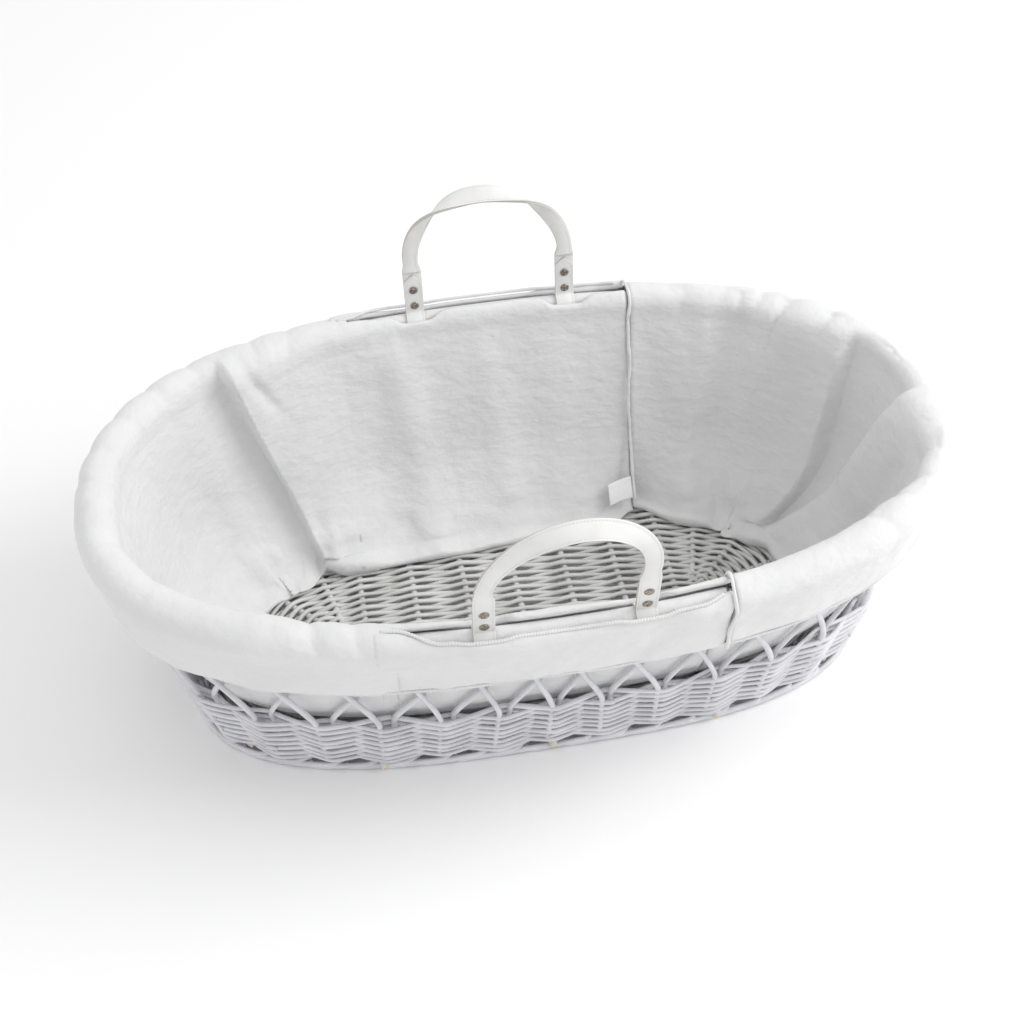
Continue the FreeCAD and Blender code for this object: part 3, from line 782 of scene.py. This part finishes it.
def outside_folds(point, arc, run):
    """Height of the folds on the skirt, in metres."""
    x = point[..., 0]
    far = smooth(np.abs(x), 0.13, 0.24)
    height = 1.6 * MM * noise(arc / 0.10 + run * 6, run / 0.06, 71)
    height += 0.9 * MM * noise(arc / 0.030 - run * 7, run / 0.05, 72) * smooth(run, 0.01, 0.04)
    height += 1.1 * MM * noise(arc / 0.016, run / 0.05, 73) * smooth(run, 0.075, 0.105)
    slant = noise((arc + run * 0.9) / 0.022, (arc - run) / 0.11, 74)
    height += 1.0 * MM * slant * (1 - far) * smooth(x, -0.02, 0.08)
    return height


def all_folds(point, arc, run):
    """Height of every fold: inner ones up to the crest, then outer ones under its puckers."""
    crest = crest_puckers(arc, run) * smooth(np.abs(point[..., 0]), 0.13, 0.24)
    outer = outside_folds(point, arc, run) + (crest + broad_folds(arc, run))
    height = lerp(inside_folds(point, arc, run), outer, smooth(run, 0.0, 0.03))
    return 1.35 * height + 0.22 * MM * noise(arc / 0.006, run / 0.009, 81)


HEM_SWAYS = 42
HEM_RIPPLES = 120


def hem_wave(arc):
    """How far the skirt's hem hangs below its mean line; it repeats after a full turn."""
    share = np.asarray(arc, float) / RIM_LENGTH
    sway = noise(share * HEM_SWAYS, 0 * share, 91, HEM_SWAYS)
    return 1.6 * MM * sway + 0.8 * MM * noise(share * HEM_RIPPLES, 0 * share, 92, HEM_RIPPLES)


def hem_at(place):
    """Height of a skirt's lower edge at a distance round the rim."""
    return HEM_Z + 5.5 * MM - float(hem_wave(place))


def crown(at, first, last):
    """Roundness of a padded piece near its two borders: 0 in the middle, 1 at the border."""
    total = at[-1]
    value = np.zeros(len(at))
    for distance, radius in ((at, first), (total - at, last)):
        inside = np.clip(1 - distance / radius, 0, 1)
        value = np.maximum(value, 1 - np.sqrt(np.maximum(1 - inside ** 2, 0)))
    return value


def cushion(name, nodes, angles, profiles, pad, ends, top, bottom, folds=1.0, sink=None):
    """Closed padded piece: its visible side follows the profiles and its back lies pad behind.

    angles: one running angle per column; profiles: columns x rows x (offset, height).
    ends, top, bottom: border radii (first column, last column), first row, last row.
    sink: how far each column lies below its usual face, where one piece laps another.
    """
    columns, rows = profiles.shape[:2]
    normals = np.stack([profile_normals(profile) for profile in profiles])
    angle = angles[:, None] * np.ones(rows)
    front = column_point(angle, profiles[..., 0], profiles[..., 1])
    level = np.minimum(profiles[..., 1], RIM_Z)
    arc = rim_arc(angles)[:, None] * np.ones(rows)
    steps = np.linalg.norm(np.diff(profiles, axis=1), axis=2)
    lengths = np.concatenate([np.zeros((columns, 1)), np.cumsum(steps, axis=1)], axis=1)
    crest = np.argmax(profiles[..., 1], axis=1)
    run = lengths - lengths[np.arange(columns), crest][:, None]
    if profiles[0, 0, 0] > 0:
        run = lengths + 0.030
    height = folds * all_folds(front, arc, run)
    side = crown(distances(front[:, rows // 2]), ends[0], ends[1])[:, None]
    end = crown(distances(profiles[columns // 2]), top, bottom)[None, :]
    round_off = 1 - (1 - side) * (1 - end)
    half = pad / 2
    if sink is not None:
        height = height - sink[:, None]
    visible = lerp(height, -half, round_off)
    hidden = lerp(-pad, -half, round_off)
    front_profile = profiles + normals * visible[..., None]
    back_profile = profiles + normals * hidden[..., None]
    outer = column_point(angle, front_profile[..., 0], front_profile[..., 1])
    inner = column_point(angle, back_profile[..., 0], back_profile[..., 1])
    close_grid(name, nodes, outer, inner)


def two_sides(front, back):
    """Quads of two grids of point numbers that face away from each other."""
    columns, rows = front.shape
    faces = []
    for i in range(columns - 1):
        for j in range(rows - 1):
            faces.append((front[i, j], front[i + 1, j], front[i + 1, j + 1], front[i, j + 1]))
            faces.append((back[i, j], back[i, j + 1], back[i + 1, j + 1], back[i + 1, j]))
    return faces


def close_grid(name, nodes, outer, inner):
    """Join two grids that share their borders into one closed cotton piece."""
    columns, rows = outer.shape[:2]
    number = np.arange(columns * rows).reshape(columns, rows)
    border = np.zeros((columns, rows), bool)
    border[0] = border[-1] = True
    border[:, 0] = border[:, -1] = True
    back = np.where(border, number, 0)
    back[~border] = columns * rows + np.arange(int((~border).sum()))
    verts = np.concatenate([outer.reshape(-1, 3), inner[~border]])
    faces = [tuple(int(v) for v in face) for face in two_sides(number, back)]
    piece = make_object(name, verts, faces, [COTTON])
    declare(piece, "basket", "cotton", *nodes)


def angle_run(first, last, spacing):
    """Running angles of even rim spacing between two angles."""
    shares = np.array([rim_share(first), rim_share(last)])
    count = int(abs(shares[1] - shares[0]) * RIM_LENGTH / spacing) + 1
    at = np.linspace(shares[0], shares[1], count)
    return angle_at(at, RIM_ANGLES, RIM_LENGTHS)


def turned_angles(first, last, spacing):
    """As angle_run, for a stretch that crosses the foot end, where angles start again."""
    before = angle_run(first, 2 * math.pi - 1e-6, spacing)
    after = angle_run(1e-6, last, spacing)
    return np.concatenate([before, after[1:] + 2 * math.pi])


SEAM_GAP = 0.1 * MM
SEAM_ROUND = 1.6 * MM  # border radius at the piped seam, and below it at the lap
FLAT_END = 0.4 * MM
HEAD_LAP = 20 * MM
LAP_EASE = 2 * MM
FEATHER = 0.5 * MM  # how far either layer of the lap sinks under the other
BORDER = 3 * MM
FLAP_DEGREES = 42  # where a slot's flap and lip end, as in polar(), and lower at the feet
FLAP_AT_FEET = 34
LIP_DEGREES = 113
LIP_AT_FEET = 150
COLUMN = 3.4 * MM  # spacing of a cushion's columns round the rim
ROWS_FULL = 112


def end_cushions():
    """Head and foot ends of the liner: floor tail, inner wall, roll and skirt in one piece."""
    lap_end, seam = FOLD_X + HEAD_LAP, SEAM_X + SEAM_GAP
    head = angle_run(rim_angle(lap_end, 1), rim_angle(lap_end, -1), COLUMN)
    step = (head[1] - head[0]) * FLAT_END / COLUMN
    head = np.concatenate([head[:1], [head[0] + step], head[1:-1], [head[-1] - step], head[-1:]])
    foot = turned_angles(rim_angle(seam, -1), rim_angle(seam, 1), COLUMN)
    lap = smooth(wall(head, 0, RIM_Z)[:, 0], FOLD_X + LAP_EASE, lap_end - LAP_EASE)
    for name, angles, end, sink in (("head", head, FLAT_END, FEATHER * lap),
                                    ("foot", foot, SEAM_ROUND, None)):
        profiles = []
        for place, spot in zip(rim_arc(angles), wall(angles, 0, 0.0)):
            inner = inner_profile(90, 80, tail_reach(spot[0], spot[1], place))
            whole = np.concatenate([inner, outer_profile(90, 40, hem_at(place))[1:]])
            profiles.append(resample(whole, ROWS_FULL))
        nodes = [name + part for part in ("_panel", "_wadding", "_roll", "_skirt")]
        cushion(name + "_cushion", nodes, angles, np.array(profiles), PAD, (end, end),
                BORDER, BORDER, sink=sink)


def slot_share(x):
    """0 at both ends of a handle slot and 1 where it is fully open."""
    opening = smooth(x, FOLD_X + 21 * MM, FOLD_X + 60 * MM)
    return opening * (1 - 0.55 * smooth(x, SEAM_X - 30 * MM, SEAM_X))


def clear_of_feet(x, name):
    """0 where a handle's feet swing and 1 away from them."""
    spacing = FOOT_SPACING[name]
    away = np.min([np.abs(x - CENTER[name] - turn * spacing) for turn in (-1, 1)], axis=0)
    return smooth(away, FOOT_HALF + 3 * MM, FOOT_HALF + 20 * MM)


def slot_angles(side, foot_end, head_end):
    """Running angles along a slot, in the direction in which they grow."""
    first, last = (foot_end, head_end) if side > 0 else (head_end, foot_end)
    return angle_run(rim_angle(first, side), rim_angle(last, side), COLUMN)


def side_cushions():
    """Front and back panels with the lip of the slot, and the outer flaps of the slots."""
    for name, side in (("front", -1), ("back", 1)):
        angles = slot_angles(side, SEAM_X - SEAM_GAP, FOLD_X + SEAM_GAP)
        x = wall(angles, 0, RIM_Z)[:, 0]
        opened = slot_share(x)
        free = clear_of_feet(x, name)
        lip_tops = lerp(94, lerp(LIP_AT_FEET, LIP_DEGREES, free), opened)
        flap_tops = lerp(88, lerp(FLAP_AT_FEET, FLAP_DEGREES, free), opened)
        lips, flaps = [], []
        for k, place in enumerate(rim_arc(angles)):
            ruffle = 5 * float(noise(place / 0.022, 0.0, 95)) * opened[k] * free[k]
            lips.append(inner_profile(lip_tops[k] + ruffle, 92, tail_reach(x[k], side, place)))
            flaps.append(outer_profile(flap_tops[k], 40, hem_at(place)))
        lips, flaps = np.array(lips), np.array(flaps)
        ends = (SEAM_ROUND, FLAT_END) if side > 0 else (FLAT_END, SEAM_ROUND)
        dip = FEATHER * (1 - smooth(x, FOLD_X + LAP_EASE, FOLD_X + HEAD_LAP - LAP_EASE))
        cushion(name + "_panel_cushion", [name + "_panel", name + "_wadding"], angles, lips, PAD,
                ends, BORDER, 3.4 * MM, sink=dip)
        cushion(name + "_flap_cushion", [name + "_slot_flap"], angles, flaps, PAD,
                ends, BORDER, BORDER, sink=dip)
        slot_edge(name, angles, flaps[:, 0])
        slot_lining(name, side)


def slot_lining(name, side):
    """Cloth round the rim's rods inside a slot, under the loops of the straps."""
    angles = slot_angles(side, SEAM_X - 3 * MM, FOLD_X + HEAD_LAP)
    curve = polar(8.3 * MM, np.linspace(196, -16, 26))
    profiles = np.tile(curve, (len(angles), 1, 1))
    edge = 0.4 * MM
    cushion(name + "_slot_lining", [name + "_slot_lip"], angles, profiles, 1.0 * MM, (edge, edge),
            edge, edge, folds=0.03)


def ribbed_tube(points, radius, reference, pitch, ripple):
    """Arguments of tube() for a cord with fine ribs across it, as an overlocked edge has."""
    along = distances(points)
    even = np.arange(0, along[-1], pitch / 4)
    ribs = 1 + ripple * np.sin(2 * np.pi * even / pitch)
    thick = radius * ribs * (1 + 0.08 * noise(even / 0.01, 0 * even, 96))
    return dict(points=points_at(even, along, points), radius=thick, reference=reference)


def slot_edge(name, angles, top):
    """Overlocked edge of a slot's outer flap."""
    path = column_point(angles, top[:, 0], top[:, 1])[3:-3]
    spec = ribbed_tube(path, 1.7 * MM, (0, 0, 1), 2.6 * MM, 0.16)
    edge = tubes(name + "_slot_overlock", [spec], [EDGE_COTTON, EDGE_COTTON])
    declare(edge, "basket", "sewn_edge", name + "_slot_binding")


def hem_band():
    """Overlocked hem round the lower edge of the skirt."""
    count, sides = 2900, 10
    middle = 13.6 * MM
    shares = np.arange(count) / count
    angles = angle_at(shares, RIM_ANGLES, RIM_LENGTHS)
    arc = shares * RIM_LENGTH
    z = HEM_Z + 3.2 * MM - hem_wave(arc)
    rib = 0.35 * MM * np.sin(2 * np.pi * arc / (2.7 * MM))
    rib = rib + 0.2 * MM * noise(arc / 0.01, 0 * arc, 98)
    verts = []
    for turn in np.arange(sides) * 2 * np.pi / sides:
        offset = middle + (2.0 * MM + rib) * np.cos(turn)
        height = z + (3.0 * MM + rib) * np.sin(turn)
        verts.append(column_point(angles, offset, height))
    verts = np.stack(verts, 1).reshape(-1, 3)
    turns = [(k, (k + 1) % sides) for k in range(sides)]
    faces = []
    for i in range(count):
        low, high = i * sides, (i + 1) % count * sides
        faces += [(low + here, high + here, high + there, low + there) for here, there in turns]
    band = make_object("hem_overlock", verts, faces, [EDGE_COTTON])
    declare(band, "basket", "sewn_edge", "hem_binding")


def seam_pipings():
    """Corded seam at the foot end of each slot, over the roll from floor to hem."""
    for name, side in (("front", -1), ("back", 1)):
        outer = outer_profile(90, 40, HEM_Z + 3 * MM)[1:]
        profile = resample(np.concatenate([inner_profile(90, 80)[10:], outer]), 190)
        out = profile + profile_normals(profile) * 1.5 * MM
        angle = np.full(len(out), rim_angle(SEAM_X, side))
        path = column_point(angle, out[:, 0], out[:, 1])
        run = np.arange(len(out)) * 0.0021
        path[:, 0] += 1.5 * MM * noise(run / 0.03, 0 * run, 101 + side)
        thick = 1.75 * MM * (1 + 0.22 * noise(run / 0.011, 0 * run, 103 + side))
        spec = dict(points=path, radius=thick, reference=(1, 0, 0), sides=10)
        cord = tubes(name + "_seam_cord", [spec], [EDGE_COTTON, EDGE_COTTON])
        declare(cord, "basket", "sewn_edge", name + "_seam_piping")


def label():
    """Blank care label, sewn in at one edge and curling away at the other."""
    low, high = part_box("care_label")
    wide, tall = 28 * MM, 20 * MM
    u, v = np.meshgrid(np.linspace(0, 1, 15), np.linspace(0, 1, 11), indexing="ij")
    x = high.x - wide * u
    z = low.z + 1 * MM + tall * v - 2.5 * MM * u
    foot = -INNER_FACE + HANG_INSET
    seam = column_point(np.full(z.shape, rim_angle(high.x, 1)), slope_face(z, foot), z)
    y = seam[..., 1] - 4.5 * MM - 5.0 * MM * u ** 2 - 1.6 * MM * np.sin(np.pi * v) * u
    front = np.stack([x, y, z], -1)
    normals = grid_normals(front)
    piece = close_sheet("care_label_tape", front, front - normals * 0.35 * MM)
    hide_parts("care_label")
    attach(piece, "basket")


def close_sheet(name, front, back):
    """Join two grids into one closed sheet with a face all round its edge."""
    columns, rows = front.shape[:2]
    number = np.arange(columns * rows).reshape(columns, rows)
    behind = number + columns * rows
    faces = two_sides(number, behind)
    loop = [*number[:, 0], *number[-1, 1:], *number[-2::-1, -1], *number[0, -2:0:-1]]
    for here, there in zip(loop, loop[1:] + loop[:1]):
        faces.append((there, here, here + columns * rows, there + columns * rows))
    faces = [tuple(int(v) for v in face) for face in faces]
    verts = np.concatenate([front.reshape(-1, 3), back.reshape(-1, 3)])
    return make_object(name, verts, faces, [LABEL])


# ---- handles ------------------------------------------------------------------------------------
LEAN = {"front": math.radians(8), "back": math.radians(5)}
CENTER = {"front": 0.0, "back": 5 * MM}
FOOT_SPACING = {"front": 71 * MM, "back": 80 * MM}
CROWN_SHIFT = {"front": 10 * MM, "back": -5 * MM}
CROWN_TWIST = {"front": 32, "back": -45}
TWIST_POWER = {"front": 2, "back": 3}
FOOT_HALF = 9.75 * MM
STRAP = 2.0 * MM
LINING = 1.4 * MM
LAYER_GAP = 0.1 * MM
LOOP_RADIUS = 8.7 * MM
PINCH = 12 * MM
LEG_TOP = 59 * MM
TAB_SHOULDER = 48 * MM
TAB_TIP = 57 * MM
ARCH_TUCK = 1 * MM
ARCH_SPRING = 70 * MM
ARCH_TOP = 141 * MM
NECK = 6.2 * MM
CROWN_HALF = 9.2 * MM
RIVET_HEIGHTS = (20 * MM, 39 * MM)
STITCH_INSET = 2.1 * MM
STITCH_PITCH = 3.0 * MM
STITCH_LENGTH = 2.1 * MM


def foot_path(x, side):
    """Stations of one foot from the leg's top down: outer leg, loop under the rim, inner tab."""
    face = LAYER_GAP + STRAP
    outer = LOOP_RADIUS + STRAP
    lean = math.atan2(face, PINCH) + math.acos(outer / math.hypot(face, PINCH))
    s, c = math.sin(lean), math.cos(lean)
    pinch = (LOOP_RADIUS - LAYER_GAP * s) / c
    leg = [(-LAYER_GAP, z) for z in np.linspace(LEG_TOP, pinch + 2 * MM, 14)]
    slope = [(lerp(-LAYER_GAP, -LOOP_RADIUS * s, t), lerp(pinch, LOOP_RADIUS * c, t))
             for t in np.linspace(0.12, 0.88, 4)]
    turns = np.linspace(math.atan2(c, -s), math.atan2(c, s) + 2 * math.pi, 30)
    arc = [(LOOP_RADIUS * math.cos(t), LOOP_RADIUS * math.sin(t)) for t in turns]
    mirror = [(-y, z) for y, z in reversed(slope)]
    tab = [(LAYER_GAP, z) for z in np.linspace(pinch + 2 * MM, TAB_TIP - 0.4 * MM, 18)]
    yz = np.array(leg + slope + arc + mirror + tab)
    along = unit(np.gradient(yz, axis=0))
    normal = np.stack([along[:, 1], -along[:, 0]], -1)
    count = len(yz)
    width = np.full(count, FOOT_HALF)
    on_tab = np.arange(count) >= count - len(tab)
    taper = FOOT_HALF * np.clip((TAB_TIP - yz[:, 1]) / (TAB_TIP - TAB_SHOULDER), 0.02, 1)
    width = np.where(on_tab, np.minimum(width, taper), width)
    center = np.stack([np.full(count, x), yz[:, 0], yz[:, 1]], -1)
    normal = np.stack([0 * width, normal[:, 0], normal[:, 1]], -1)
    across = np.tile([float(side), 0, 0], (count, 1))
    return center, across, normal, width, width


def arch_path(name, steps=96):
    """Stations of a strap's arch, from the left foot over the crown to the right foot."""
    spacing = FOOT_SPACING[name]
    half = spacing - ARCH_TUCK
    shift = CROWN_SHIFT[name]
    height = ARCH_TOP - ARCH_SPRING
    turn = np.linspace(0, np.pi, steps)
    x = -half * np.cos(turn) + shift * np.sin(turn)
    z = ARCH_SPRING + height * np.sin(turn)
    rising = half * np.sin(turn) + shift * np.cos(turn)
    out = unit(np.stack([-height * np.cos(turn), 0 * turn, rising], -1))
    rise = np.sin(turn)
    legs = 7
    t = np.linspace(0, 1, legs, endpoint=False)
    ease = smooth(t, 0, 1)
    left = np.stack([-lerp(spacing, half, ease), 0 * t, lerp(LEG_TOP, ARCH_SPRING, t)], -1)
    right = (left * [-1, 1, 1])[::-1]
    center = np.concatenate([left, np.stack([x, 0 * x, z], -1), right])
    left_out = unit(lerp(np.array([-1.0, 0, 0]), out[0], ease[:, None]))
    right_out = unit(lerp(np.array([1.0, 0, 0]), out[-1], ease[:, None]))[::-1]
    out = np.concatenate([left_out, out, right_out])
    rise = np.concatenate([0 * t, rise, 0 * t])
    twist = np.radians(90 - (90 - CROWN_TWIST[name]) * rise ** TWIST_POWER[name])[:, None]
    side = np.array([0.0, 1.0, 0.0])
    across = out * np.sin(twist) + side * np.cos(twist)
    face = out * np.cos(twist) - side * np.sin(twist)
    inner = lerp(NECK, CROWN_HALF, rise)
    outer = np.full(len(rise), CROWN_HALF)
    for k in range(legs):
        inner[k] = inner[-1 - k] = lerp(FOOT_HALF, NECK, ease[k])
        outer[k] = outer[-1 - k] = lerp(FOOT_HALF, CROWN_HALF, ease[k])
    return center, across, face, inner, outer


def ribbon(path, low, high):
    """Strap of rounded, slightly crowned section; low and high are measured along the normal."""
    center, across, normal, inner, outer = path
    thick = high - low
    edge = 0.45 * MM
    rows = []
    for k in range(len(center)):
        w0, w1 = -inner[k], outer[k]
        span = w1 - w0
        inset = min(STITCH_INSET, span * 0.24)
        steps = [edge * 0.3, edge, inset * 0.6, inset, inset * 1.45]
        places = [*(w0 + step for step in steps), (w0 + w1) / 2,
                  *(w1 - step for step in reversed(steps))]
        dips = [-0.14, 0, 0.04, -0.16, 0.10, 0.18, 0.10, -0.16, 0.04, 0, -0.14]
        top = [(min(max(a, w0), w1), high + d * MM) for a, d in zip(places, dips)]
        sides = [(w1, high - edge), (w1, low + edge * 0.8)]
        under = [(w1 - edge * 0.8, low), ((w0 + w1) / 2, low), (w0 + edge * 0.8, low)]
        others = [(w0, low + edge * 0.8), (w0, high - edge)]
        rows.append(top + sides + under + others)
    section = np.array(rows)
    verts = center[:, None] + across[:, None] * section[..., :1]
    verts = verts + normal[:, None] * section[..., 1:]
    count, sides = verts.shape[:2]
    faces, numbers = [], []
    edge_faces = (10, 11, 12, 15, 16, 17)
    for i in range(count - 1):
        for k in range(sides):
            a, b = i * sides + k, i * sides + (k + 1) % sides
            faces.append((a, a + sides, b + sides, b))
            numbers.append(1 if k in edge_faces else 0)
    faces.append(tuple(range(sides)))
    faces.append(tuple(range(count * sides - 1, (count - 1) * sides - 1, -1)))
    return verts.reshape(-1, 3), faces, numbers + [1, 1]


def stitch_line(path, level, side):
    """Sewn stitches along one edge of a strap: short rounded threads sunk at both ends."""
    center, across, normal, inner, outer = path
    reach = (outer if side > 0 else inner) - STITCH_INSET
    line = center + across * (side * reach)[:, None] + normal * (level - 0.05 * MM)
    steps = distances(line)
    specs = []
    start = STITCH_PITCH / 2
    while start + STITCH_PITCH < steps[-1]:
        at = start + np.array([0, 0.16, 0.5, 0.84, 1.0]) * STITCH_LENGTH
        up = points_at(at, steps, normal)
        arched = up * np.array([-0.25, 0.03, 0.10, 0.03, -0.25])[:, None] * MM
        radius = np.array([0.2, 0.3, 0.32, 0.3, 0.2]) * MM
        specs.append(dict(points=points_at(at, steps, line) + arched, radius=radius,
                          reference=up, sides=6))
        start += STITCH_PITCH
    return specs


def place_points(points, name):
    """From a handle's own frame to its rest place; the back one is mirrored in Y."""
    c, s = math.cos(LEAN[name]), math.sin(LEAN[name])
    x, y, z = points[:, 0], points[:, 1], points[:, 2]
    y, z = y * c - z * s, y * s + z * c
    mirror = -1 if name == "back" else 1
    return np.stack([x + CENTER[name], mirror * y + PIVOTS[name].y, z + PIVOTS[name].z], -1)


def place_object(piece, name):
    """Move a built handle piece to its place and mend its winding where it was mirrored."""
    mesh = piece.data
    points = np.empty(len(mesh.vertices) * 3)
    mesh.vertices.foreach_get("co", points)
    mesh.vertices.foreach_set("co", place_points(points.reshape(-1, 3), name).ravel())
    if name == "back":
        mesh.flip_normals()
    mesh.update()


def lathe(profile, center, axis, sides=36):
    """Turned part: profile is (radius, distance along the axis) from rim to middle."""
    axis = Vector(axis)
    side = axis.orthogonal().normalized()
    other = axis.cross(side)
    verts, faces = [], []
    for radius, level in profile:
        for k in range(sides):
            turn = 2 * math.pi * k / sides
            spot = Vector(center) + axis * level
            spot = spot + side * radius * math.cos(turn) + other * radius * math.sin(turn)
            verts.append(tuple(spot))
    for i in range(len(profile) - 1):
        faces += ring_faces(i * sides, (i + 1) * sides, sides)
    faces.append(tuple(range(sides - 1, -1, -1)))
    faces.append(tuple(range((len(profile) - 1) * sides, len(profile) * sides)))
    return verts, faces


# Rivet section from its shank to the middle of its head: radius and height in mm.
RIVET_PROFILE = ((2.0, -2.0), (2.0, 0.0), (4.3, 0.0), (4.6, 0.35), (4.5, 0.85), (4.0, 1.25),
                 (3.3, 1.35), (2.9, 1.15), (2.5, 1.15), (2.2, 1.4), (1.5, 1.58), (0.8, 1.5),
                 (0.25, 1.35))


def rivets(name, node_name, handle, face_side):
    """Four domed rivets with a rim, a groove and a dimple."""
    low = LAYER_GAP + STRAP + 0.05 * MM
    profile = [(radius * MM, level * MM) for radius, level in RIVET_PROFILE]
    verts, faces = [], []
    for x in (-FOOT_SPACING[handle], FOOT_SPACING[handle]):
        for z in RIVET_HEIGHTS:
            new_verts, new_faces = lathe(profile, (x, -face_side * low, z), (0, -face_side, 0))
            faces += [tuple(v + len(verts) for v in face) for face in new_faces]
            verts += new_verts
    piece = make_object(name, verts, faces, [RIVET])
    place_object(piece, handle)
    declare(piece, handle + "_handle", "rivet_metal", node_name)


def build_handle(name):
    """Strap, lining, stitches and rivets of one handle."""
    body = name + "_handle"
    left = foot_path(-FOOT_SPACING[name], -1)
    right = foot_path(FOOT_SPACING[name], 1)
    arch = arch_path(name)
    shift = arch[2] * LAYER_GAP
    strap_arch = (arch[0] + shift, arch[1], arch[2], arch[3], arch[4])
    pieces = [tuple(part[::-1][:-1] for part in left), strap_arch,
              tuple(part[1:] for part in right)]
    path = tuple(np.concatenate([piece[k] for piece in pieces]) for k in range(5))
    verts, faces, numbers = ribbon(path, 0, STRAP)
    strap = make_object(name + "_strap_leather", verts, faces, [LEATHER, CUT_LEATHER], numbers)
    verts, faces, numbers = ribbon(arch, -LINING, 0)
    lining = make_object(name + "_strap_lining", verts, faces, [LINING_LEATHER, CUT_LEATHER],
                         numbers)
    threads = []
    under = (arch[0], arch[1], arch[2] * -1, arch[3], arch[4])
    for edge in (-1, 1):
        threads += stitch_line(path, STRAP, edge)
        threads += stitch_line(under, LINING, edge)
    stitches = tubes(name + "_strap_stitches", threads, [THREAD, THREAD])
    for piece in (strap, lining, stitches):
        place_object(piece, name)
        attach(piece, body)
    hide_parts(name + "_handle_strap")
    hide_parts(name + "_handle_lining")
    rivets(name + "_strap_rivets", name + "_handle_rivets", name, 1)
    rivets(name + "_strap_rivet_caps", name + "_handle_rivet_caps", name, -1)


# ---- stage --------------------------------------------------------------------------------------
KEY_PLACE, KEY_AIM = (2.2, -0.3, 2.0), (0, 0, 0.1)
KEY_SIZE, KEY_WATTS = 1.5, 44
WORLD_STRENGTH = 0.90
FLOOR_HALF = 6.0
CAMERA_PLACE = (-0.1647, -1.0024, 1.2578)
CAMERA_DEGREES = (-8.75, 46.76, -1.4)  # azimuth, elevation and roll
CAMERA_LENS, CAMERA_SENSOR = 51.8, 36


def area_light(name, place, aim, size, power):
    data = bpy.data.lights.new(name, "AREA")
    data.shape = "SQUARE"
    data.size = size
    data.energy = power
    lamp = bpy.data.objects.new(name, data)
    bpy.context.scene.collection.objects.link(lamp)
    lamp.location = place
    lamp.rotation_mode = "QUATERNION"
    lamp.rotation_quaternion = (Vector(aim) - Vector(place)).to_track_quat("-Z", "Y")


def build_stage():
    material, _, _ = new_material("pale_floor", (0.93, 0.93, 0.93), 0.9)
    half = FLOOR_HALF
    corners = [(-half, -half, 0), (half, -half, 0), (half, half, 0), (-half, half, 0)]
    ground = make_object("studio_floor", corners, [(0, 1, 2, 3)], [material], smooth_faces=False)
    world = bpy.data.worlds.new("studio")
    bpy.context.scene.world = world
    world.use_nodes = True
    background = world.node_tree.nodes["Background"]
    background.inputs["Color"].default_value = (1.0, 1.0, 1.0, 1)
    background.inputs["Strength"].default_value = WORLD_STRENGTH
    area_light("key", KEY_PLACE, KEY_AIM, KEY_SIZE, KEY_WATTS)


def build_camera():
    """Camera at the height and side from which the basket is shown."""
    azimuth, elevation, roll = (math.radians(degrees) for degrees in CAMERA_DEGREES)
    level = math.cos(elevation)
    back = Vector((math.sin(azimuth) * level, -math.cos(azimuth) * level, math.sin(elevation)))
    right = Vector((math.cos(azimuth), math.sin(azimuth), 0))
    up = back.cross(right)
    c, s = math.cos(roll), math.sin(roll)
    right, up = right * c + up * s, up * c - right * s
    data = bpy.data.cameras.new("camera")
    data.lens = CAMERA_LENS
    data.sensor_width = CAMERA_SENSOR
    camera = bpy.data.objects.new("camera", data)
    bpy.context.scene.collection.objects.link(camera)
    turn = Matrix((right, up, back)).transposed().to_4x4()
    camera.matrix_world = Matrix.Translation(Vector(CAMERA_PLACE)) @ turn
    bpy.context.scene.camera = camera


build_wicker()
end_cushions()
side_cushions()
hem_band()
seam_pipings()
label()
build_handle("front")
build_handle("back")
build_stage()
build_camera()
bpy.context.scene.view_settings.view_transform = "Standard"
